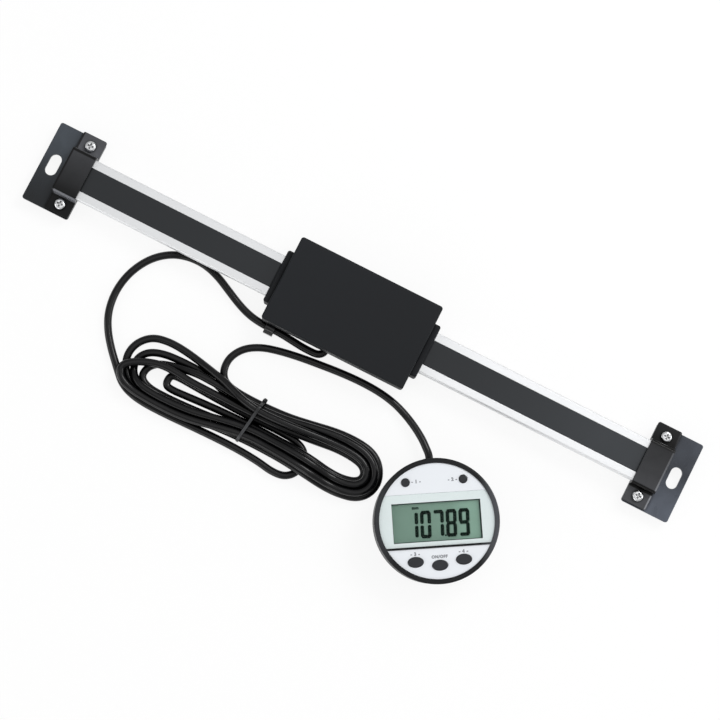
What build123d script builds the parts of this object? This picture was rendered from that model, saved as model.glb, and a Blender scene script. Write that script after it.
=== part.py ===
from build123d import *
import math
import os

# Digital linear scale: a slotted-end measuring bar runs through a reading head, and a cable
# joins the head to a round display.  Millimetres.  The origin is the centre of the reading
# head's underside, +X runs along the bar towards the right-hand bracket and +Z points up.

# ---------------------------------------------------------------- measuring bar
BAR_LENGTH = 325.0
BAR_WIDTH = 21.4
BAR_THICK = 6.0
BAR_BOTTOM_Z = 6.0          # underside of the bar above the mounting surface
BAR_CHAMFER = 0.7
BAR_REST_X = 6.0            # the bar's middle stands this far to the right of the head's middle
STRIP_EDGE = 4.2            # bare metal on each side of the strip
STRIP_THICK = 0.8
FILM_THICK = 0.2
STRIP_SIDE_GAP = 0.05
STRIP_RECESS = 0.05         # film below the bar's top edges

# ---------------------------------------------------------------- end brackets
PLATE_OVERHANG = 13.1       # a plate's outer edge beyond the bar's end
PLATE_LENGTH = 24.8
EAR_NORTH_END = 5.5         # screw centre to the end of a clamp's ear
EAR_SOUTH_END = 4.7
PLATE_NORTH_END = 4.7       # screw centre to the side of the plate
PLATE_SOUTH_END = 5.3
PLATE_THICK = 1.5
PLATE_CORNER = 1.2
SLOT_EDGE = 6.2             # slot centre from the plate's outer edge
SLOT_LENGTH = 11.0
SLOT_WIDTH = 5.8
CLAMP_LENGTH = 12.6
CLAMP_SHEET = 1.2
CLAMP_BEND = 1.2            # bend radius at the middle of the sheet
CLAMP_CORNER = 0.9
CLAMP_GAP = 0.05
CLAMP_SCREW_OUT = 5.3       # screw centre from the bar's side
CLAMP_SCREW_D = 3.0
CLAMP_HEAD_D = 5.4
CLAMP_HEAD_H = 1.9
SCREW_CLEARANCE = 0.4       # added to a screw's diameter for a clearance hole
THREAD_GAP = 0.1            # diametral gap drawn between a thread and its tapped hole

# ---------------------------------------------------------------- reading head
HEAD_LENGTH = 76.4
FLANGE_STEP = 2.9           # flange and cover beyond the base's side
HEAD_TOP_Z = 17.5
HEAD_CORNER = 1.4
RAIL_WIDTH = 8.6            # base beyond the bar's side
FLANGE_BOTTOM_Z = 7.5
SEAM_Z = 8.7                # cover sits on the flange here
RAIL_TOP_Z = 12.4
SLIDE_GAP = 0.05            # running clearance of the bar in the head
COVER_WALL = 1.6
COVER_EDGE = 0.7
COVER_FIT = 0.2
MOUNT_END_GAP = 13.2        # mounting hole centre from the end of the base
MOUNT_SIDE_GAP = 4.3        # and from its side
MOUNT_HOLE_D = 3.3
MOUNT_HOLE_DEPTH = 5.0
COVER_SCREW_END_GAP = 5.2
SCREW_SIDE_GAP = 3.4        # cover and board screws from the side of the base
COVER_SCREW_D = 2.5
COVER_SCREW_HEAD_D = 4.5
COVER_SCREW_HEAD_H = 1.7
COUNTERBORE_D = 4.9
COUNTERBORE_DEPTH = 2.3
COVER_POST_D = 4.8
SCREW_BITE = 2.6            # length of a cover screw in its post

GIB_THICK = 1.5
GIB_HEIGHT = 5.4
GIB_END_GAP = 0.4
SPRING_SPACE = 0.9
SPRING_THICK = 0.3
SPRING_LENGTH = 26.0
SPRING_HEIGHT = 4.0
SPRING_X = 17.5
SPRING_GAP = 0.02

READER_END_GAP = 10.2       # board's end from the head's end
READER_SIDE_GAP = 1.0
READER_THICK = 1.0
READER_SCREW_END_GAP = 3.0
READER_SCREW_D = 2.0
READER_SCREW_HEAD_D = 3.6
READER_SCREW_HEAD_H = 1.3
READER_SCREW_L = 4.5
CHIP_SIZE = 7.0
CHIP_HEIGHT = 1.1

WIPER_SIDE = 3.2            # wiper beyond the bar's side
WIPER_THICK = 3.2
WIPER_BOTTOM_Z = 1.6
WIPER_TOP_Z = 13.4
WIPER_GAP = 0.2
WIPER_CORNER = 1.0
WIPER_CHAMFER = 0.7
WIPER_PEG_D = 2.0
WIPER_PEG_L = 3.0
WIPER_PEG_Y = 9.0
WIPER_PEG_Z = 3.6
FELT_BORDER = 0.7
FELT_THICK = 1.5
FELT_GAP = 0.04

# ---------------------------------------------------------------- cable
CORD_D = 3.8
HEAD_EXIT_X = -3.7
HEAD_EXIT_Z = 3.2
GLAND_D = 4.8
GLAND_L = 3.4
GLAND_FLANGE_D = 6.0
GLAND_FLANGE = 0.5
CLIP_END_GAP = 5.6          # clip from the end of the base
CLIP_STANDOFF = 3.95        # cable's axis in the clip from the side of the base
CLIP_Z = 2.9
CLIP_WIDTH = 4.8
CLIP_WALL = 0.85
CLIP_GAP = 0.1
CLIP_PEG_D = 2.0
CLIP_PEG_L = 1.8
CLIP_PEG_Z = 3.6
CLIP_SHOULDER = 3.6
CLIP_TAB = 3.5              # outer face of the clip's tab from the cable's axis

# ---------------------------------------------------------------- round display
DISPLAY_LEFT_X = 51.0       # nearest side of the display to the folded cable
DISPLAY_Y = -71.3
DISPLAY_TURN = 30.6         # degrees from the bar's direction
CASE_R = 30.0
CASE_TOP_Z = 21.0
CASE_WALL = 2.4
CASE_EDGE = 0.7
RIM_WIDTH = 2.4
FACE_DEPTH = 0.5            # face below the rim
DECK_THICK = 1.5
PANEL_THICK = 0.5
LENS_THICK = 0.5
MASK_THICK = 0.25
LENS_ABOVE_WINDOW = 4.1
BAR_BELOW_WINDOW = 2.6      # middle of the cross bar below the window
BAR_H = 0.95
WINDOW_LAP_U = 1.75         # glass hidden behind each side of the window
WINDOW_LAP_V = 2.1
WINDOW_V = -0.2
FACE_GAP = 0.05
LCD_EDGE = 7.0              # end of the glass from the case's outside
LCD_SHAPE = 0.5             # height of the glass over its width
LCD_THICK = 2.2
ZEBRA_H = 2.0
ZEBRA_W = 2.2
BOARD_EDGE = 0.4            # board inside the case's wall
BOARD_THICK = 1.2
BOSS_D = 4.6
BOSS_EDGE = 5.0             # boss centre from the case's outside
BOSS_ANGLES = (36, 144, 216, 324)
BOARD_SCREW_D = 2.0
BOARD_SCREW_HEAD_D = 3.6
BOARD_SCREW_HEAD_H = 1.3
BLOB_R = 5.0
BLOB_H = 1.6

ROUND_BUTTON_D = 4.0
ROUND_BUTTON_EDGE = 6.436   # button centre from the case's outside
ROUND_BUTTON_ANGLE = 54.15
OVAL_BUTTON_W = 7.5
OVAL_BUTTON_H = 4.9
OVAL_BUTTON_EDGE = 7.876
OVAL_BUTTON_ANGLE = 58.68
OVAL_MIDDLE_EDGE = 9.0
BUTTON_TOP_Z = 21.1
BUTTON_GAP = 0.15
BUTTON_FLANGE = 0.7
BUTTON_FLANGE_THICK = 0.7
BUTTON_TRAVEL = 0.6
BUTTON_CROWN = 0.3
MAT_THICK = 0.8
MAT_LENGTH = 33.0
MAT_MARGIN = 1.0            # from the mat to the board's edge
DOME_INSET = 0.5            # dome smaller than its button all round

BACK_THICK = 2.6
BACK_LIP = 1.6
BACK_LIP_GAP = 0.1
PILLAR_D = 5.0
BACK_SCREW_EDGE = 4.2
BACK_SCREW_ANGLES = (52, 128, 232, 308)
BACK_SCREW_D = 2.0
BACK_SCREW_HEAD_D = 3.8
BACK_SCREW_HEAD_H = 1.3
BACK_SCREW_RECESS = 1.5
BACK_SCREW_L = 8.0
MAGNET_D = 8.0
MAGNET_THICK = 1.8
MAGNET_EDGE = 10.0
MAGNET_ANGLES = (0, 90, 180, 270)
POCKET_GAP = 0.1
CELL_D = 20.0
CELL_THICK = 3.2
CELL_WELL_WALL = 1.2
CELL_WELL_GAP = 0.4
BATTERY_COVER_D = 22.4
BATTERY_COVER_THICK = 1.6
BATTERY_COVER_GAP = 0.2
COIN_SLOT_L = 14.0
COIN_SLOT_W = 2.0
COIN_SLOT_DEPTH = 0.9
CONTACT_THICK = 0.3
CONTACT_W = 4.0
CONTACT_L = 6.0
CONTACT_SPACING = 14.0
CONTACT_GAP = 0.05
WELL_ROOF = 1.0

DISPLAY_GLAND_Z = 6.0
DISPLAY_GLAND_D = 5.4
DISPLAY_GLAND_FLANGE_D = 6.0
DISPLAY_GLAND_FLANGE = 0.5
DISPLAY_GLAND_U = -0.6
DISPLAY_CORD_RUN = 1.9       # straight cable outside the display's gland

# ---------------------------------------------------------------- folded cable and its tie
HANK_HEIGHT = 7.2
HANK_EDGE = 2.4
HANK_STUB = 5.0
TIE_X = -20.5
TIE_TURN = 8.6              # degrees from square to the bar
TIE_WIDTH = 1.8
TIE_THICK = 0.7
TIE_TOP_Y = -57.6
TIE_BOTTOM_Y = -79.6
TIE_GAP = 0.1
TIE_KNOT_D = 3.0
TIE_KNOT_Z = 5.6

# ---------------------------------------------------------------- worked-out values
BAR_TOP_Z = BAR_BOTTOM_Z + BAR_THICK
STRIP_WIDTH = BAR_WIDTH - 2 * STRIP_EDGE
GROOVE_DEPTH = STRIP_THICK + FILM_THICK + STRIP_RECESS
PLATE_BOTTOM_Z = BAR_BOTTOM_Z - PLATE_THICK
PLATE_OUTER_X = BAR_LENGTH / 2 + PLATE_OVERHANG
CLAMP_MIDDLE_X = PLATE_OUTER_X - PLATE_LENGTH + CLAMP_LENGTH / 2
CLAMP_SCREW_Y = BAR_WIDTH / 2 + CLAMP_SCREW_OUT
PLATE_WIDTH = 2 * CLAMP_SCREW_Y + PLATE_NORTH_END + PLATE_SOUTH_END
PLATE_MIDDLE_Y = (PLATE_NORTH_END - PLATE_SOUTH_END) / 2
EAR_TOP_Z = BAR_BOTTOM_Z + CLAMP_SHEET
CHANNEL_FLOOR_Z = BAR_BOTTOM_Z - SLIDE_GAP
CHANNEL_NORTH_Y = BAR_WIDTH / 2 + SLIDE_GAP
GIB_INNER_Y = -BAR_WIDTH / 2 - SLIDE_GAP
GIB_OUTER_Y = GIB_INNER_Y - GIB_THICK
CHANNEL_SOUTH_Y = GIB_OUTER_Y - SPRING_SPACE
BASE_WIDTH = BAR_WIDTH + 2 * RAIL_WIDTH
HEAD_WIDTH = BASE_WIDTH + 2 * FLANGE_STEP
HEAD_SIDE_Y = -BASE_WIDTH / 2
MOUNT_SPACING_X = HEAD_LENGTH - 2 * MOUNT_END_GAP
MOUNT_SPACING_Y = BASE_WIDTH - 2 * MOUNT_SIDE_GAP
COVER_SCREW_X = HEAD_LENGTH / 2 - COVER_SCREW_END_GAP
COVER_SCREW_Y = BASE_WIDTH / 2 - SCREW_SIDE_GAP
READER_LENGTH = HEAD_LENGTH - 2 * READER_END_GAP
READER_WIDTH = BASE_WIDTH - 2 * READER_SIDE_GAP
READER_SCREW_X = READER_LENGTH / 2 - READER_SCREW_END_GAP
WIPER_WIDTH = BAR_WIDTH + 2 * WIPER_SIDE
CLIP_X = CLIP_END_GAP - HEAD_LENGTH / 2
CLIP_Y = HEAD_SIDE_Y - CLIP_STANDOFF
INNER_LENGTH = HEAD_LENGTH - 2 * COVER_WALL
INNER_WIDTH = HEAD_WIDTH - 2 * COVER_WALL
COVER_INNER_Z = HEAD_TOP_Z - COVER_WALL
FELT_OUTER = BAR_WIDTH / 2 + WIPER_GAP + FELT_BORDER
WELL_Y = (CHANNEL_SOUTH_Y + HEAD_SIDE_Y) / 2
DISPLAY_X = DISPLAY_LEFT_X + CASE_R
FACE_R = CASE_R - RIM_WIDTH
LCD_W = 2 * (CASE_R - LCD_EDGE)
LCD_H = LCD_W * LCD_SHAPE
WINDOW_W = LCD_W - 2 * WINDOW_LAP_U
WINDOW_H = LCD_H - 2 * WINDOW_LAP_V
LENS_TOP_V = WINDOW_V + WINDOW_H / 2 + LENS_ABOVE_WINDOW
BAR_V = WINDOW_V - WINDOW_H / 2 - BAR_BELOW_WINDOW
BOARD_R = CASE_R - CASE_WALL - BOARD_EDGE
ROUND_BUTTON_R = CASE_R - ROUND_BUTTON_EDGE
ROUND_BUTTON_U = ROUND_BUTTON_R * math.cos(math.radians(ROUND_BUTTON_ANGLE))
ROUND_BUTTON_V = ROUND_BUTTON_R * math.sin(math.radians(ROUND_BUTTON_ANGLE))
OVAL_BUTTON_R = CASE_R - OVAL_BUTTON_EDGE
OVAL_BUTTON_U = OVAL_BUTTON_R * math.cos(math.radians(OVAL_BUTTON_ANGLE))
OVAL_BUTTON_V = -OVAL_BUTTON_R * math.sin(math.radians(OVAL_BUTTON_ANGLE))
OVAL_MIDDLE_V = OVAL_MIDDLE_EDGE - CASE_R
FACE_TOP_Z = CASE_TOP_Z - FACE_DEPTH
DECK_TOP_Z = FACE_TOP_Z - PANEL_THICK
DECK_BOTTOM_Z = DECK_TOP_Z - DECK_THICK
LENS_BOTTOM_V = BAR_V + BAR_H / 2
PANEL_TOP_V = BAR_V - BAR_H / 2
LCD_BOTTOM_Z = DECK_BOTTOM_Z - LCD_THICK
BOARD_TOP_Z = LCD_BOTTOM_Z - ZEBRA_H
BOARD_BOTTOM_Z = BOARD_TOP_Z - BOARD_THICK
BUTTON_FLANGE_TOP_Z = DECK_BOTTOM_Z - FACE_GAP
BUTTON_BOTTOM_Z = BUTTON_FLANGE_TOP_Z - BUTTON_FLANGE_THICK
MAT_TOP_Z = BOARD_TOP_Z + MAT_THICK
DOME_TOP_Z = BUTTON_BOTTOM_Z - BUTTON_TRAVEL - FACE_GAP
CASE_INNER_R = CASE_R - CASE_WALL
CELL_BOTTOM_Z = BATTERY_COVER_THICK + CONTACT_GAP
WELL_R = CELL_D / 2 + CELL_WELL_GAP
WELL_TOP_Z = CELL_BOTTOM_Z + CELL_THICK + CONTACT_THICK + 2 * CONTACT_GAP

DISPLAY_PLANE = Plane(
    origin=(DISPLAY_X, DISPLAY_Y, 0),
    x_dir=(math.cos(math.radians(DISPLAY_TURN)), math.sin(math.radians(DISPLAY_TURN)), 0),
    z_dir=(0, 0, 1),
)
SIDES = (("left", -1), ("right", 1))
SECTION = Plane.YZ          # cross-sections of the bar; extrusions from it run along the bar

os.makedirs("parts", exist_ok=True)


def write(piece, label):
    """Label a finished piece and write its file."""
    piece.part.label = label
    export_step(piece.part, f"parts/{label}.step")


def ring_of(radius, angles):
    """Points at the given angles, in degrees, on a circle about the origin."""
    return [
        (radius * math.cos(math.radians(a)), radius * math.sin(math.radians(a))) for a in angles
    ]


def corners(x, y):
    """The four corners of a rectangle centred on the origin, from its half sizes."""
    return [(x, y), (-x, y), (-x, -y), (x, -y)]


def pan_screw(head_d, head_h, shank_d, shank_l):
    """Cross-recessed pan-head screw: seat on the XY plane, head up, shank down."""
    with BuildPart(mode=Mode.PRIVATE) as screw:
        with BuildSketch(Plane.XZ):
            with Locations((head_d / 4, head_h / 2)):
                Rectangle(head_d / 2, head_h)
            fillet(vertices().group_by(Axis.Y)[-1].sort_by(Axis.X)[-1], head_h * 0.55)
            with Locations((shank_d / 4, -shank_l / 2)):
                Rectangle(shank_d / 2, shank_l)
        revolve(axis=Axis.Z)
        with BuildSketch(Plane.XY.offset(head_h)):
            Rectangle(head_d * 0.55, head_d * 0.15)
            Rectangle(head_d * 0.15, head_d * 0.55)
        extrude(amount=-head_h * 0.6, mode=Mode.SUBTRACT)
    return screw.part


# ================================================================ measuring bar
with BuildPart() as beam_bar:
    with BuildSketch(SECTION.offset(BAR_REST_X - BAR_LENGTH / 2)):
        with Locations((0, BAR_BOTTOM_Z + BAR_THICK / 2)):
            Rectangle(BAR_WIDTH, BAR_THICK)
        chamfer(vertices(), BAR_CHAMFER)
        with Locations((0, BAR_TOP_Z - GROOVE_DEPTH / 2)):
            Rectangle(STRIP_WIDTH, GROOVE_DEPTH, mode=Mode.SUBTRACT)
    extrude(amount=BAR_LENGTH)
write(beam_bar, "beam_bar")

with BuildPart() as scale_strip:
    with BuildSketch(SECTION.offset(BAR_REST_X - BAR_LENGTH / 2)):
        with Locations((0, BAR_TOP_Z - GROOVE_DEPTH + STRIP_THICK / 2)):
            Rectangle(STRIP_WIDTH - 2 * STRIP_SIDE_GAP, STRIP_THICK)
    extrude(amount=BAR_LENGTH)
write(scale_strip, "scale_strip")

with BuildPart() as strip_film:
    with BuildSketch(SECTION.offset(BAR_REST_X - BAR_LENGTH / 2)):
        with Locations((0, BAR_TOP_Z - STRIP_RECESS - FILM_THICK / 2)):
            Rectangle(STRIP_WIDTH - 2 * STRIP_SIDE_GAP, FILM_THICK)
    extrude(amount=BAR_LENGTH)
write(strip_film, "strip_film")

# ================================================================ end brackets
for name, side in SIDES:
    outer_x = BAR_REST_X + side * PLATE_OUTER_X
    clamp_x = BAR_REST_X + side * CLAMP_MIDDLE_X
    screw_points = [(clamp_x, CLAMP_SCREW_Y), (clamp_x, -CLAMP_SCREW_Y)]

    with BuildPart() as bracket_plate:
        with BuildSketch(Plane.XY.offset(PLATE_BOTTOM_Z)):
            with Locations((outer_x - side * PLATE_LENGTH / 2, PLATE_MIDDLE_Y)):
                RectangleRounded(PLATE_LENGTH, PLATE_WIDTH, PLATE_CORNER)
            with Locations((outer_x - side * SLOT_EDGE, 0)):
                SlotOverall(SLOT_LENGTH, SLOT_WIDTH, rotation=90, mode=Mode.SUBTRACT)
            with Locations(*screw_points):
                Circle(CLAMP_SCREW_D / 2, mode=Mode.SUBTRACT)
        extrude(amount=PLATE_THICK)
    write(bracket_plate, f"bracket_plate_{name}")

    with BuildPart() as end_clamp:
        wall_y = BAR_WIDTH / 2 + CLAMP_GAP + CLAMP_SHEET / 2
        ear_z = BAR_BOTTOM_Z + CLAMP_SHEET / 2
        bridge_z = BAR_TOP_Z + CLAMP_SHEET / 2
        with BuildSketch(SECTION.offset(clamp_x - CLAMP_LENGTH / 2)):
            with BuildLine():
                FilletPolyline(
                    (-CLAMP_SCREW_Y - EAR_SOUTH_END, ear_z),
                    (-wall_y, ear_z),
                    (-wall_y, bridge_z),
                    (wall_y, bridge_z),
                    (wall_y, ear_z),
                    (CLAMP_SCREW_Y + EAR_NORTH_END, ear_z),
                    radius=CLAMP_BEND,
                )
            trace(line_width=CLAMP_SHEET)
        extrude(amount=CLAMP_LENGTH)
        ear_ends = edges().filter_by(Axis.Z)
        fillet(ear_ends.group_by(Axis.Y)[0] + ear_ends.group_by(Axis.Y)[-1], CLAMP_CORNER)
        with BuildSketch(Plane.XY.offset(BAR_BOTTOM_Z)):
            with Locations(*screw_points):
                Circle((CLAMP_SCREW_D + SCREW_CLEARANCE) / 2)
        extrude(amount=CLAMP_SHEET, mode=Mode.SUBTRACT)
    write(end_clamp, f"end_clamp_{name}")

    with BuildPart() as clamp_screws:
        with Locations(*[(x, y, EAR_TOP_Z) for x, y in screw_points]):
            add(
                pan_screw(
                    CLAMP_HEAD_D,
                    CLAMP_HEAD_H,
                    CLAMP_SCREW_D - THREAD_GAP,
                    CLAMP_SHEET + PLATE_THICK,
                )
            )
    write(clamp_screws, f"clamp_screws_{name}")

# ================================================================ reading head
with BuildPart() as head_base:
    with BuildSketch():
        Rectangle(HEAD_LENGTH, BASE_WIDTH)
    extrude(amount=RAIL_TOP_Z)
    chamfer(faces().sort_by(Axis.Z)[0].edges(), HEAD_CORNER / 2)
    with BuildSketch(Plane.XY.offset(FLANGE_BOTTOM_Z)):
        RectangleRounded(HEAD_LENGTH, HEAD_WIDTH, HEAD_CORNER)
    extrude(amount=SEAM_Z - FLANGE_BOTTOM_Z)
    # above the seam the rails stand inside the cover's end walls
    with BuildSketch(Plane.XY.offset(SEAM_Z)):
        Rectangle(HEAD_LENGTH, HEAD_WIDTH)
        Rectangle(INNER_LENGTH - 2 * COVER_FIT, HEAD_WIDTH, mode=Mode.SUBTRACT)
    extrude(amount=RAIL_TOP_Z - SEAM_Z, mode=Mode.SUBTRACT)
    # channel for the bar, its gib and the gib springs
    with BuildSketch(SECTION.offset(-HEAD_LENGTH / 2)):
        with Locations(((CHANNEL_NORTH_Y + CHANNEL_SOUTH_Y) / 2, (CHANNEL_FLOOR_Z + RAIL_TOP_Z) / 2)):
            Rectangle(CHANNEL_NORTH_Y - CHANNEL_SOUTH_Y, RAIL_TOP_Z - CHANNEL_FLOOR_Z)
    extrude(amount=HEAD_LENGTH, mode=Mode.SUBTRACT)
    # tapped mounting holes
    with BuildSketch():
        with GridLocations(MOUNT_SPACING_X, MOUNT_SPACING_Y, 2, 2):
            Circle(MOUNT_HOLE_D / 2)
    extrude(amount=MOUNT_HOLE_DEPTH, mode=Mode.SUBTRACT)
    # cover screws pass up through the rails from counterbores in the underside
    with BuildSketch():
        with Locations(*corners(COVER_SCREW_X, COVER_SCREW_Y)):
            Circle((COVER_SCREW_D + SCREW_CLEARANCE) / 2)
    extrude(amount=RAIL_TOP_Z, mode=Mode.SUBTRACT)
    with BuildSketch():
        with Locations(*corners(COVER_SCREW_X, COVER_SCREW_Y)):
            Circle(COUNTERBORE_D / 2)
    extrude(amount=COUNTERBORE_DEPTH, mode=Mode.SUBTRACT)
    # blind holes for the reader board's screws
    with BuildSketch(Plane.XY.offset(RAIL_TOP_Z)):
        with Locations(*corners(READER_SCREW_X, COVER_SCREW_Y)):
            Circle(READER_SCREW_D / 2)
    extrude(amount=-READER_SCREW_L, mode=Mode.SUBTRACT)
    # cable entry in the side and the well that leads it up to the board
    with BuildSketch(Plane.XZ.offset(BASE_WIDTH / 2)):
        with Locations((HEAD_EXIT_X, HEAD_EXIT_Z)):
            Circle(GLAND_D / 2)
    extrude(amount=-GLAND_L, mode=Mode.SUBTRACT)
    with BuildSketch(Plane.XY.offset(RAIL_TOP_Z)):
        with Locations((HEAD_EXIT_X, WELL_Y + GLAND_D / 8)):
            Circle(GLAND_D * 0.4)
    extrude(amount=HEAD_EXIT_Z - RAIL_TOP_Z, mode=Mode.SUBTRACT)
    # peg holes: one for the cable clip, two in each end for the wipers
    with BuildSketch(Plane.XZ.offset(BASE_WIDTH / 2)):
        with Locations((CLIP_X, CLIP_PEG_Z)):
            Circle(CLIP_PEG_D / 2)
    extrude(amount=-CLIP_PEG_L, mode=Mode.SUBTRACT)
    for _, side in SIDES:
        with BuildSketch(SECTION.offset(side * HEAD_LENGTH / 2)):
            with Locations((WIPER_PEG_Y, WIPER_PEG_Z), (-WIPER_PEG_Y, WIPER_PEG_Z)):
                Circle(WIPER_PEG_D / 2)
        extrude(amount=-side * WIPER_PEG_L, mode=Mode.SUBTRACT)
write(head_base, "head_base")

with BuildPart() as head_cover:
    with BuildSketch(Plane.XY.offset(SEAM_Z)):
        RectangleRounded(HEAD_LENGTH, HEAD_WIDTH, HEAD_CORNER)
    extrude(amount=HEAD_TOP_Z - SEAM_Z)
    fillet(faces().sort_by(Axis.Z)[-1].edges(), COVER_EDGE)
    with BuildSketch(Plane.XY.offset(SEAM_Z)):
        Rectangle(INNER_LENGTH, INNER_WIDTH)
    extrude(amount=COVER_INNER_Z - SEAM_Z, mode=Mode.SUBTRACT)
    # the bar passes under the end walls
    with BuildSketch(SECTION.offset(-HEAD_LENGTH / 2)):
        with Locations((0, (SEAM_Z + BAR_TOP_Z + WIPER_GAP) / 2)):
            Rectangle(BAR_WIDTH + 2 * WIPER_GAP, BAR_TOP_Z + WIPER_GAP - SEAM_Z)
    extrude(amount=HEAD_LENGTH, mode=Mode.SUBTRACT)
    with BuildSketch(Plane.XY.offset(RAIL_TOP_Z)):
        with Locations(*corners(COVER_SCREW_X, COVER_SCREW_Y)):
            Circle(COVER_POST_D / 2)
    extrude(amount=COVER_INNER_Z - RAIL_TOP_Z)
    with BuildSketch(Plane.XY.offset(RAIL_TOP_Z)):
        with Locations(*corners(COVER_SCREW_X, COVER_SCREW_Y)):
            Circle(COVER_SCREW_D / 2)
    extrude(amount=SCREW_BITE + COVER_FIT, mode=Mode.SUBTRACT)
write(head_cover, "head_cover")

with BuildPart() as cover_screws:
    screw = pan_screw(
        COVER_SCREW_HEAD_D,
        COVER_SCREW_HEAD_H,
        COVER_SCREW_D - THREAD_GAP,
        RAIL_TOP_Z + SCREW_BITE - COUNTERBORE_DEPTH,
    )
    with Locations(*[(x, y, COUNTERBORE_DEPTH) for x, y in corners(COVER_SCREW_X, COVER_SCREW_Y)]):
        add(screw, rotation=(180, 0, 0))
write(cover_screws, "cover_screws")

with BuildPart() as gib_strip:
    with BuildSketch(Plane.XY.offset(CHANNEL_FLOOR_Z)):
        with Locations((0, (GIB_INNER_Y + GIB_OUTER_Y) / 2)):
            Rectangle(INNER_LENGTH - 2 * GIB_END_GAP, GIB_THICK)
    extrude(amount=GIB_HEIGHT)
    chamfer(edges().filter_by(Axis.Z).group_by(Axis.Y)[-1], GIB_THICK / 3)
write(gib_strip, "gib_strip")

with BuildPart() as gib_springs:
    with BuildSketch(Plane.XY.offset(CHANNEL_FLOOR_Z)):
        for _, side in SIDES:
            with BuildLine():
                end_y = CHANNEL_SOUTH_Y + SPRING_THICK / 2 + SPRING_GAP
                ThreePointArc(
                    (side * SPRING_X - SPRING_LENGTH / 2, end_y),
                    (side * SPRING_X, GIB_OUTER_Y - SPRING_THICK / 2 - SPRING_GAP),
                    (side * SPRING_X + SPRING_LENGTH / 2, end_y),
                )
            trace(line_width=SPRING_THICK)
    extrude(amount=SPRING_HEIGHT)
write(gib_springs, "gib_springs")

with BuildPart() as reader_board:
    with BuildSketch(Plane.XY.offset(RAIL_TOP_Z)):
        RectangleRounded(READER_LENGTH, READER_WIDTH, HEAD_CORNER)
        with Locations(*corners(READER_SCREW_X, COVER_SCREW_Y)):
            Circle((READER_SCREW_D + SCREW_CLEARANCE) / 2, mode=Mode.SUBTRACT)
        with Locations((HEAD_EXIT_X, -READER_WIDTH / 2)):
            Rectangle(GLAND_D, 2 * CORD_D, mode=Mode.SUBTRACT)
    extrude(amount=READER_THICK)
write(reader_board, "reader_board")

with BuildPart() as reader_chips:
    with BuildSketch(Plane.XY.offset(RAIL_TOP_Z + READER_THICK)):
        with Locations((CHIP_SIZE, 0)):
            Rectangle(CHIP_SIZE, CHIP_SIZE)
        with GridLocations(CHIP_SIZE * 5, CHIP_SIZE, 2, 2):
            Rectangle(CHIP_SIZE / 3, CHIP_SIZE / 5)
        with Locations((-CHIP_SIZE, 0)):
            SlotOverall(CHIP_SIZE, CHIP_SIZE / 2)
    extrude(amount=CHIP_HEIGHT)
write(reader_chips, "reader_chips")

with BuildPart() as board_screws:
    screw = pan_screw(
        READER_SCREW_HEAD_D,
        READER_SCREW_HEAD_H,
        READER_SCREW_D - THREAD_GAP,
        READER_SCREW_L + READER_THICK - COVER_FIT,
    )
    seat_z = RAIL_TOP_Z + READER_THICK
    with Locations(*[(x, y, seat_z) for x, y in corners(READER_SCREW_X, COVER_SCREW_Y)]):
        add(screw)
write(board_screws, "reader_board_screws")

for name, side in SIDES:
    end_x = side * HEAD_LENGTH / 2
    opening_low_z = BAR_BOTTOM_Z - WIPER_GAP
    opening_high_z = BAR_TOP_Z + WIPER_GAP

    with BuildPart() as wiper_frame:
        with BuildSketch(SECTION.offset(end_x)):
            with Locations((0, (WIPER_BOTTOM_Z + WIPER_TOP_Z) / 2)):
                RectangleRounded(WIPER_WIDTH, WIPER_TOP_Z - WIPER_BOTTOM_Z, WIPER_CORNER)
            with Locations((0, (opening_low_z + opening_high_z) / 2)):
                Rectangle(
                    BAR_WIDTH + 2 * WIPER_GAP, opening_high_z - opening_low_z, mode=Mode.SUBTRACT
                )
        extrude(amount=side * WIPER_THICK)
        outer_face = faces().sort_by(Axis.X)[-1 if side > 0 else 0]
        chamfer(outer_face.outer_wire().edges(), WIPER_CHAMFER)
        # felt pocket in the face against the head
        with BuildSketch(SECTION.offset(end_x)):
            with Locations((0, (opening_low_z + opening_high_z) / 2)):
                Rectangle(2 * FELT_OUTER, opening_high_z - opening_low_z + 2 * FELT_BORDER)
        extrude(amount=side * FELT_THICK, mode=Mode.SUBTRACT)
        with BuildSketch(SECTION.offset(end_x)):
            with Locations((WIPER_PEG_Y, WIPER_PEG_Z), (-WIPER_PEG_Y, WIPER_PEG_Z)):
                Circle((WIPER_PEG_D - THREAD_GAP) / 2)
        extrude(amount=-side * (WIPER_PEG_L - COVER_FIT))
    write(wiper_frame, f"wiper_{name}")

    with BuildPart() as wiper_felt:
        with BuildSketch(SECTION.offset(end_x)):
            with Locations((0, (BAR_BOTTOM_Z + BAR_TOP_Z) / 2)):
                Rectangle(
                    2 * (FELT_OUTER - FELT_GAP),
                    BAR_THICK + 2 * (WIPER_GAP + FELT_BORDER - FELT_GAP),
                )
                Rectangle(
                    BAR_WIDTH + 2 * FELT_GAP, BAR_THICK + 2 * FELT_GAP, mode=Mode.SUBTRACT
                )
        extrude(amount=side * (FELT_THICK - FELT_GAP))
    write(wiper_felt, f"wiper_felt_{name}")

with BuildPart() as cable_gland:
    with BuildSketch(Plane.XZ.offset(BASE_WIDTH / 2)):
        with Locations((HEAD_EXIT_X, HEAD_EXIT_Z)):
            Circle((GLAND_D - THREAD_GAP) / 2)
    extrude(amount=-GLAND_L + COVER_FIT)
    with BuildSketch(Plane.XZ.offset(BASE_WIDTH / 2)):
        with Locations((HEAD_EXIT_X, HEAD_EXIT_Z)):
            Circle(GLAND_FLANGE_D / 2)
    extrude(amount=GLAND_FLANGE)
write(cable_gland, "cable_gland")

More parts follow.
